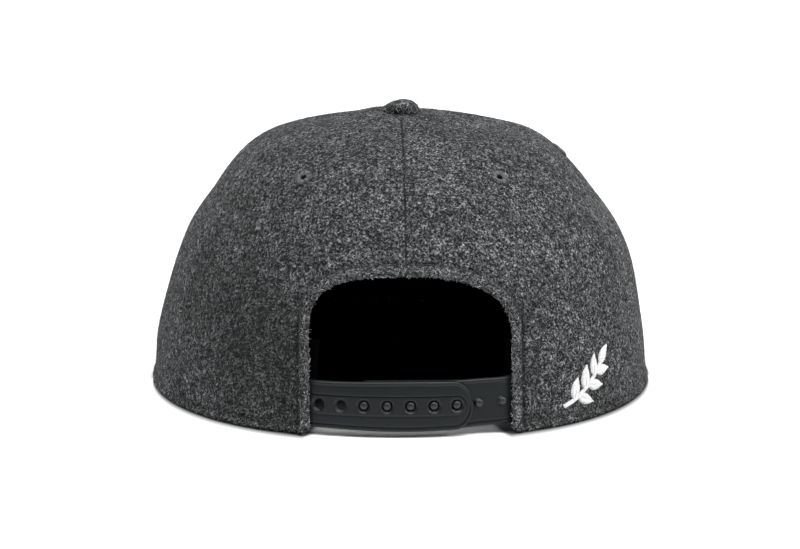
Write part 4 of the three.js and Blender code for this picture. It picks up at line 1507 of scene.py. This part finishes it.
# %% Stitches of the peak
peak_stitches = [[], [], []]
for row in peak_rows:
    turn = np.linspace(0, 1, 600)
    _, inner, outer = peak_lines(turn)
    across = 1 - row / np.linalg.norm(outer - inner, axis=-1)
    seen = across > 0.07
    line = peak_point(turn[seen], across[seen], 1)
    places, along = spaced(line, stitch_pitch)
    for kept, values in zip(peak_stitches, (places, along, np.tile([0.0, 0.0, 1.0], (len(places), 1)))):
        kept.append(values)
places, along, out = (np.concatenate(values) for values in peak_stitches)
centres = places + out * 0.02 * mm
mesh = grow_threads("thread_peak_rows", centres, along, out, stitch_length, stitch_radius, dark_thread, 0.6)
finish_piece(joined_object("thread_peak_rows", mesh), "grey_thread")
print("peak:", len(peak.data.polygons), "faces and", len(places), "stitches")

# %% [markdown]
# The sweatband is a folded strip of black cotton inside the hem. It stops at the arch on both sides, and
# behind the tails of the strap it stands further in, because the tails are sewn between it and the wool.

# %% Sweatband
strap_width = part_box("strap_left")[1][2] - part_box("strap_left")[0][2]
strap_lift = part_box("strap_left")[0][2]
strap_middle = strap_lift + strap_width / 2
strap_thickness = 1.5 * mm
strap_tuck = 14 * mm
sweatband_height = 33 * mm
sweatband_thickness = 1.2 * mm
sweatband_gap = 0.6 * mm
sweatband_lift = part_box("sweatband")[0][2]

# %% Distances round the wall
# Azimuth for each distance round the wall from the back seam, at the strap's middle height.
arc_azimuths = np.linspace(-110, 110, 881)
arc_line = crown_point(arc_azimuths, share_at(strap_middle))
arc_lengths = run_lengths(arc_line)
arc_lengths -= np.interp(0, arc_azimuths, arc_lengths)


def azimuth_at_arc(arc):
    return np.interp(arc, arc_lengths, arc_azimuths)


def arch_edge_arc(side):
    return crown_back_depth * math.asin((arch_half_width + side * arch_shift) / crown_back_depth)


# %% Sweatband mesh
band_start = azimuth_at_arc(arch_edge_arc(1) - 0.4 * mm)
band_stop = 360 + azimuth_at_arc(-arch_edge_arc(-1) - 1.2 * mm)
tail_end = azimuth_at_arc(max(arch_edge_arc(1), arch_edge_arc(-1)) + strap_tuck + seat_gap)
band_azimuth, band_rise = np.meshgrid(
    np.linspace(band_start, band_stop, 261),
    np.concatenate([np.linspace(0, 0.94, 20), 1 - 0.06 * (1 - np.linspace(0.2, 1, 6)) ** 2]),
)
wrapped = np.where(band_azimuth > 180, band_azimuth - 360, band_azimuth)
behind_tail = 1 - smoothstep(np.abs(wrapped), tail_end, tail_end + 8)
clear = sweatband_gap + (seat_gap * 2 + strap_thickness - sweatband_gap) * behind_tail
base = np.maximum(0, hem_lift(wrapped) - peak_thickness - seat_gap)
band_height = base + sweatband_lift + (sweatband_height - sweatband_lift) * band_rise
from_top = (1 - band_rise) * sweatband_height
round_top = 0.55 * sweatband_thickness * (1 - np.sqrt(1 - np.clip(1 - from_top / (0.7 * mm), 0, 1) ** 2))
row_dip = 0.2 * mm * bell(from_top, 4 * mm, 0.6 * mm)
ripple = 0.12 * mm * np.sin(np.radians(wrapped) * 60) * np.exp(-from_top / (8 * mm))
wool_side = cloth_thickness + clear + round_top + row_dip
head_side = cloth_thickness + clear + sweatband_thickness - round_top - row_dip + ripple
band_out = wall_point(wrapped, band_height, wool_side)
band_in = wall_point(wrapped, band_height, head_side)
band_faces = grid_faces(*band_azimuth.shape)[:, ::-1]
band_vertices, band_all, _, _ = thick_sheet(band_out.reshape(-1, 3), band_in.reshape(-1, 3), band_faces)
sweatband = mesh_object("cotton_sweatband", band_vertices, band_all, [black_cotton])
finish_piece(sweatband, "black_cotton", "sweatband")
print("sweatband:", len(sweatband.data.polygons), "faces")

# %% [markdown]
# The strap is moulded plastic in two halves. The wearer's left half has seven holes and lies over the right
# half, whose posts snap into five of them. Each half is drawn flat as an outline with holes, on an even grid
# whose edge is moved onto the outline. Extruding a curve would give the same plate, but not the even faces
# that the moulded lines on it need.

# %% Flat outlines with holes
def trimmed_grid(inside, corners, cell):
    """Grid places and faces where inside(x, y) is positive, with a clean edge at zero."""
    (x_low, y_low), (x_high, y_high) = corners
    x = np.arange(x_low, x_high + cell, cell)
    y = np.linspace(y_low, y_high, int(round((y_high - y_low) / cell)) + 1)
    places = np.stack(np.meshgrid(x, y), axis=-1)
    faces = grid_faces(*places.shape[:2])
    places = places.reshape(-1, 2)
    value = inside(places)
    faces = faces[(value[faces] > -0.2 * cell).sum(axis=1) >= 3]
    faces = faces[value[faces].mean(axis=1) > 0]
    rim = boundary_edges(faces)
    on_rim = np.zeros(len(places), dtype=bool)
    on_rim[rim.ravel()] = True
    all_edges = np.concatenate([faces[:, [k, (k + 1) % 4]] for k in range(4)])
    edges = np.unique(np.sort(all_edges, axis=1), axis=0)
    rim_edges = np.unique(np.sort(rim, axis=1), axis=0)
    near = (value < 2.5 * cell) & ~on_rim

    def snap():
        step = cell * 0.05
        for _ in range(3):
            here = places[on_rim]
            level = inside(here)
            slope = np.stack([
                inside(here + (step, 0)) - inside(here - (step, 0)),
                inside(here + (0, step)) - inside(here - (0, step)),
            ], axis=-1) / (2 * step)
            places[on_rim] = here - slope * (level / np.maximum((slope ** 2).sum(axis=1), 0.2))[:, None]

    def even(which, links, share):
        total, count = np.zeros_like(places), np.zeros(len(places))
        for a, b in ((0, 1), (1, 0)):
            np.add.at(total, links[:, a], places[links[:, b]])
            np.add.at(count, links[:, a], 1)
        mean = total[which] / np.maximum(count[which], 1)[:, None]
        places[which] += (mean - places[which]) * share

    for _ in range(10):
        snap()
        even(on_rim, rim_edges, 0.5)
        even(near, edges, 0.7)
    snap()
    return places, faces


# %% [markdown]
# A height for each place of the flat half then adds the rim, the band round the holes and the sunken seats
# of the posts, and the whole is bent round the crown's wall. Both halves count from the same snaps, so that
# each closed post meets its hole. The right half dips under the left one and rises a little to its tail.

# %% Snap strap
strap_tail_width = 16.4 * mm
strap_end = 7.2 * mm
left_tip = -24.8 * mm
snap_margin = 6.2 * mm
snap_pitch = 8.6 * mm
snap_count, snaps_closed = 7, 5
right_rise = 0.8 * mm
overlap_ease = 1.5 * mm
rise_ease = 6 * mm
upper_depth = cloth_thickness + seat_gap
under_depth = upper_depth + strap_thickness + seat_gap
hole_arcs = left_tip + snap_margin + snap_pitch * np.arange(snap_count)
post_arcs = hole_arcs[snaps_closed - 1] - snap_pitch * np.arange(snap_count)
right_tip = hole_arcs[snaps_closed - 1] + snap_margin
bore_radius = 1.7 * mm
seat_radius = 2.25 * mm
seat_depth = 0.8 * mm
post_radius = 1.45 * mm
band_half = 3.45 * mm
rim_width = 1.25 * mm
rim_line = rim_width + 0.2 * mm
strap_cell = 0.34 * mm
print("snaps every", round(snap_pitch / mm, 1), "mm,", snaps_closed, "of", snap_count, "closed")


# %% Outline of a strap half
def outline_inside(tip, way):
    """Distance inside a strap's outline: straight sides and a half-oval end at the tip."""
    def inside(places):
        from_tip = (places[:, 0] - tip) * way
        narrower = (strap_tail_width - strap_width) / 2
        half = strap_width / 2 + narrower * smoothstep(np.abs(places[:, 0]), 0, arch_half_width)
        straight = half - np.abs(places[:, 1])
        along = np.clip(1 - from_tip / strap_end, 0, None)
        reach = np.hypot(along, places[:, 1] / half)
        slope = np.hypot(along / strap_end, places[:, 1] / half ** 2) / np.maximum(reach, 1e-9)
        return np.where(from_tip < strap_end, (1 - reach) / np.maximum(slope, 1e-9), straight)
    return inside


def hole_distance(places, arcs):
    return np.min([np.hypot(places[:, 0] - arc, places[:, 1]) for arc in arcs], axis=0)


def step_up(value, middle, width):
    return smoothstep(value, middle - width / 2, middle + width / 2)


# %% Moulded front of the strap
def strap_height(places, inside, arcs, tip_arc, way, seats):
    """Height of the front face above the plate, and the shade painted along its moulded lines."""
    edge = np.maximum(inside(places), 0)
    upper_side = places[:, 1] > 0
    # Painted shade along the rim's groove on the lower side, and along the edge of the band round the holes,
    # stronger on its upper side.
    painted_groove_shade = 0.55 * bell(edge, rim_line, 0.26 * mm) * (places[:, 1] < 0)
    round_edge = np.clip(1 - edge / (0.45 * mm), 0, 1)
    height = -0.45 * mm * (1 - np.sqrt(1 - round_edge ** 2))
    height += 0.1 * mm * (1 - step_up(edge, rim_width, 0.25 * mm))
    height -= 0.24 * mm * bell(edge, rim_line, 0.2 * mm)
    first = min(arcs, key=lambda arc: (arc - tip_arc) * way)
    beyond = np.minimum((places[:, 0] - first) * way, 0)
    from_row = np.hypot(beyond, places[:, 1]) - band_half
    if seats:
        height += 0.03 * mm * (1 - step_up(from_row, -0.15 * mm, 0.3 * mm))
        height -= np.where(upper_side, 0.34, 0.16) * mm * bell(from_row, 0, 0.18 * mm)
        painted_groove_shade = np.maximum(painted_groove_shade, np.where(upper_side, 0.85, 0.2) * bell(from_row, 0, 0.24 * mm))
        sunk = 1 - step_up(hole_distance(places, arcs), seat_radius, 0.3 * mm)
        height = height * (1 - sunk) - seat_depth * sunk
    return height, painted_groove_shade


def strap_mesh(name, tip, tail, way, arcs, depth_at, rise_at, holes):
    outline = outline_inside(tip, way)

    def inside(places):
        edge = outline(places)
        return np.minimum(edge, hole_distance(places, arcs) - bore_radius) if holes else edge

    low, high = min(tip, tail), max(tip, tail)
    places, faces = trimmed_grid(inside, ((low, -strap_width / 2), (high, strap_width / 2)), strap_cell)
    used, faces = compacted(faces)
    places = places[used]
    height, painted_groove_shade = strap_height(places, outline, arcs, tip, way, holes)
    azimuth = azimuth_at_arc(places[:, 0])
    depth = depth_at(places[:, 0])
    level = strap_middle + rise_at(places[:, 0]) + places[:, 1]
    share = share_at_wall(azimuth, level, depth)
    front = skin_point(azimuth, share, depth - height)
    back = skin_point(azimuth, share, depth + strap_thickness)
    front[:, 2] = back[:, 2] = level
    faces = facing(front, faces, lambda place: (0, 1, 0))
    vertices, all_faces, _, _ = thick_sheet(front, back, faces)
    strap = mesh_object(name, vertices, all_faces, [plastic])
    set_pressed(strap, np.concatenate([painted_groove_shade, 0 * painted_groove_shade]))
    return strap


# %% Strap halves
def under_left(arc):
    dip = smoothstep(arc, -arch_half_width, left_tip - overlap_ease)
    return upper_depth + (under_depth - upper_depth) * dip


def rise_right(arc):
    return right_rise * smoothstep(-arc, -left_tip - rise_ease, arch_half_width + rise_ease)


left_tail = arch_edge_arc(1) + strap_tuck
right_tail = -arch_edge_arc(-1) - strap_tuck
strap_left = strap_mesh(
    "plastic_strap_left", left_tip, left_tail, 1, hole_arcs, lambda arc: np.full(arc.shape, upper_depth),
    lambda arc: np.zeros(arc.shape), True,
)
finish_piece(strap_left, "black_plastic", "strap_left")
strap_right_plate = strap_mesh(
    "plastic_strap_right_plate", right_tip, right_tail, -1, post_arcs, under_left, rise_right, False,
)

# %% [markdown]
# A post is a short peg with a rounded head and a small fillet at its foot. The closed ones fill their holes
# and leave a dark ring round the head, and the free ones stand on the right half of the strap. The heads
# get a value below zero, which paints a highlight on them as a lighter colour and raises their shine.

# %% Posts
post_painted_highlight_and_shine = -0.9

# Each row is a step out from the post's radius and a height above the strap, in millimetres.
post_steps = [
    (-1.15, -0.9), (0.0, -0.9), (0.35, 0.02), (0.1, 0.18), (-0.06, 0.5), (-0.06, 1.05), (0.02, 1.22),
    (-0.03, 1.36), (-0.14, 1.5), (-0.32, 1.63), (-0.58, 1.74), (-0.9, 1.81), (-1.2, 1.84),
]


def build_post(arc):
    azimuth = azimuth_at_arc(arc)
    level = strap_middle + rise_right(arc)
    share = share_at_wall(azimuth, level, under_left(arc))
    foot = skin_point(azimuth, share, under_left(arc))
    foot[2] = level
    axis = crown_normal(azimuth, share)
    side = unit(np.cross((0, 0, 1.0), axis))
    turn = np.stack([side, np.cross(axis, side), axis])
    profile = [(post_radius + step * mm, height * mm) for step, height in post_steps]
    return polar_mesh("post", profile, 26, lambda points: points @ turn + foot, [plastic])


posts = [build_post(np.array(arc)) for arc in post_arcs]
strap_right = joined_object("plastic_strap_right", strap_right_plate.data, *[post.data for post in posts])
# The grooves keep their painted shade, and the post heads get a painted highlight and more shine.
shine = pressed_values(strap_right)
shine[len(strap_right_plate.data.vertices):] = post_painted_highlight_and_shine
set_pressed(strap_right, shine)
for part in (strap_right_plate, *posts):
    bpy.data.objects.remove(part)
finish_piece(strap_right, "black_plastic", "strap_right")
print("straps:", len(strap_left.data.polygons), len(strap_right.data.polygons), "faces")

# %% [markdown]
# A small plain sprig is worked in white satin stitch on the wearer's right. Padding under each leaf gives it
# a rounded back. The threads slant from the middle vein to the edge, which is how a leaf is sewn by machine.
# A smooth raised shape would be simpler, but the sheen of satin stitch comes from its separate threads.

# %% Sprig
sprig_azimuth = -43.5
sprig_height = 14.3 * mm
sprig_length = 30 * mm
sprig_thread = 0.8 * mm
stem_width = 1.3 * mm
satin_radius = 0.2 * mm
satin_pitch = 0.3 * mm
vein_gap = 0.06 * mm
sprig_tilt = math.radians(20)
stem_foot, stem_bend, stem_top = np.array([(-0.5, -0.08), (-0.1, -0.12), (0.3, 0.07)]) * sprig_length

# Along is the leaf's foot on the stem, length and width are shares of the sprig's length, turn is degrees.
leaves = [
    {"along": 0.18, "length": 0.26, "width": 0.064, "turn": 50},
    {"along": 0.26, "length": 0.27, "width": 0.066, "turn": -48},
    {"along": 0.4, "length": 0.28, "width": 0.068, "turn": 46},
    {"along": 0.48, "length": 0.27, "width": 0.066, "turn": -44},
    {"along": 0.62, "length": 0.25, "width": 0.062, "turn": 42},
    {"along": 0.68, "length": 0.25, "width": 0.062, "turn": -40},
    {"along": 0.79, "length": 0.26, "width": 0.064, "turn": 0},
]


# %% Stem and places on the panel
def stem_at(share):
    share = np.asarray(share, float)[..., None]
    place = (1 - share) ** 2 * stem_foot + 2 * share * (1 - share) * stem_bend + share ** 2 * stem_top
    way = (1 - share) * (stem_bend - stem_foot) + share * (stem_top - stem_bend)
    return place, unit(way)


def rotated(flat, angle):
    turn = np.array([[math.cos(angle), math.sin(angle)], [-math.sin(angle), math.cos(angle)]])
    return flat @ turn


def on_panel(flat, proud):
    """Place on the back right panel from flat sprig coordinates."""
    flat = rotated(flat, sprig_tilt)
    height = sprig_height + flat[..., 1]
    radius = outline_radius(sprig_azimuth, crown_half_width, crown_back_depth)
    azimuth = sprig_azimuth - np.degrees(flat[..., 0] / radius)
    share = share_at_wall(azimuth, height, np.zeros_like(height))
    point = skin_point(azimuth, share, np.zeros_like(height))
    normal = crown_normal(azimuth, share)
    return point + normal * (seat_gap + np.asarray(proud))[..., None], normal


def strip(line_at, width_at, steps, rows=7):
    """Flat places of a strip along a line, and the share of the way across, from -1 to 1."""
    share = np.linspace(0, 1, steps)
    middle, way = line_at(share)
    side = np.stack([-way[:, 1], way[:, 0]], axis=-1)
    across = np.linspace(-1, 1, rows)
    offset = across[:, None, None] * (width_at(share) / 2)[None, :, None]
    return middle[None] + side[None] * offset, across[:, None] + 0 * share[None]


# %% Padding and satin threads
def padding(name, line_at, width_at, steps):
    flat, across = strip(line_at, width_at, steps)
    rise = (sprig_thread - 0.3 * mm) * np.sqrt(np.clip(1 - across ** 2, 0.02, 1))
    top, _ = on_panel(flat, rise - 0.2 * mm)
    under, _ = on_panel(flat, np.full(across.shape, -0.7 * mm))
    faces = grid_faces(*across.shape)
    vertices, all_faces, _, _ = thick_sheet(top.reshape(-1, 3), under.reshape(-1, 3), faces)
    return mesh_object(name, vertices, all_faces, [white_thread])


def satin(line_at, width_at, length, halves, slant):
    """Start and end of each satin thread across a strip, on the flat."""
    count = int(length / satin_pitch)
    share = (np.arange(count) + 0.5) / count
    starts, ends = [], []
    for half in halves:
        first, way = line_at(share)
        side = np.stack([-way[:, 1], way[:, 0]], axis=-1)
        ahead = np.clip(share + slant * width_at(share) / length, 0, 1)
        last, last_way = line_at(ahead)
        last_side = np.stack([-last_way[:, 1], last_way[:, 0]], axis=-1)
        inner = vein_gap if len(halves) == 2 else -width_at(share) / 2
        starts.append(first + side * half * np.broadcast_to(inner, share.shape)[:, None])
        ends.append(last + last_side * (half * width_at(ahead) / 2)[:, None])
    return np.concatenate(starts), np.concatenate(ends)


def leaf_shape(leaf):
    foot, way = stem_at(leaf["along"] / 0.8)
    way = rotated(way, math.radians(leaf["turn"]))
    length = leaf["length"] * sprig_length

    def line_at(share):
        share = np.asarray(share, float)
        return foot + way * (share * length)[..., None], np.broadcast_to(way, (*share.shape, 2))

    def width_at(share):
        swell = np.clip(np.sin(np.pi * np.clip(share, 0, 1) ** 0.8), 0, 1) ** 0.8
        return 0.25 * mm + 2 * leaf["width"] * sprig_length * swell

    return line_at, width_at, length


# %% Sewn sprig
shapes_of_sprig = [leaf_shape(leaf) for leaf in leaves]
stem_length = 0.86 * sprig_length
pads = [padding("pad_stem", stem_at, lambda share: 0 * share + stem_width, 30)]
pads += [padding(f"pad_{index}", line, width, 16) for index, (line, width, _) in enumerate(shapes_of_sprig)]
starts, ends = satin(stem_at, lambda share: 0 * share + stem_width, stem_length, (1,), 0.5)
thread_ends = [(starts, ends)] + [
    satin(line, width, length, (1, -1), 0.55) for line, width, length in shapes_of_sprig
]
starts = np.concatenate([pair[0] for pair in thread_ends])
ends = np.concatenate([pair[1] for pair in thread_ends])
start_points, _ = on_panel(starts, np.full(len(starts), sprig_thread - 0.55 * mm))
end_points, out = on_panel(ends, np.full(len(ends), -0.1 * mm))
middle_points, out = on_panel((starts + ends) / 2, np.full(len(ends), sprig_thread * 0.3))
thread_mesh = grow_threads(
    "satin", (start_points + end_points + middle_points) / 3, end_points - start_points, out,
    np.linalg.norm(end_points - start_points, axis=1) + 0.25 * mm, satin_radius, white_thread, arch=1.2,
)
sprig = joined_object("thread_sprig", pads[0].data, *[pad.data for pad in pads[1:]], thread_mesh)
for pad in pads:
    bpy.data.objects.remove(pad)
finish_piece(sprig, "white_thread", "sprig")
print("sprig:", len(starts), "threads")

# %% [markdown]
# Last come the loose fibres. They are densest along the arch, where the cut wool is folded and rubbed, and
# there a fringe of longer ones sticks out over the opening. Seams and grooves have few, as they are pressed
# flat. The front of the cap has fewer too, because it faces away.

# %% Fibres on the wool
fibre_density = {"back": 1.4e6, "side": 0.7e6, "front": 0.4e6}
fringe_density = 1.7e6
# Length, tilt and lift of the fibres that lie on the wool, and of the fringe.
lying = (1.7 * mm, 0.16, 0.08 * mm)
fringe = (2.2 * mm, 0.3, 0.1 * mm)
back_y = crown_axis_y + 60 * mm


def on_outer_face(thing):
    """The first half of a closed sheet's points."""
    count = len(thing.data.vertices)
    return np.arange(count) < count // 2


for index, (name, *_) in enumerate(panels):
    piece = panel_pieces[name]
    x, y, z = points_of(piece).T
    near_edge = np.where(y > back_y, arch_distance(x, z), 1.0)
    at_arch = 1 + 0.55 * np.exp(-np.maximum(near_edge, 0) / (3 * mm))
    fuzz = on_outer_face(piece) * at_arch * np.clip(1 - 1.4 * pressed_values(piece), 0, 1)
    density = fibre_density[name.split("_")[0]]
    grown = grow_fibres(f"wool_fibres_{name}", piece, fuzz, density, *lying, 11 + index)
    print(grown.name, len(grown.data.polygons))

# %% Fringe, peak and button
for index, side in enumerate(("left", "right")):
    piece = panel_pieces[f"back_{side}"]
    x, y, z = points_of(piece).T
    at_edge = on_outer_face(piece) * (y > back_y) * (arch_distance(x, z) < 2.6 * mm) * (z > 3 * mm)
    grown = grow_fibres(f"wool_fringe_{side}", piece, at_edge * 1.0, fringe_density, *fringe, 51 + index)
    print(grown.name, len(grown.data.polygons))
on_top = np.arange(len(peak.data.vertices)) < len(upper)
grow_fibres("wool_fibres_peak", peak, on_top * 1.0, 0.25e6, 2.3 * mm, 0.14, 0.1 * mm, 31)
on_dome = points_of(button)[:, 2] > button_seat
grow_fibres("wool_fibres_button", button, on_dome * 1.0, 1.3e6, 1.7 * mm, 0.18, 0.08 * mm, 37)

# %% [markdown]
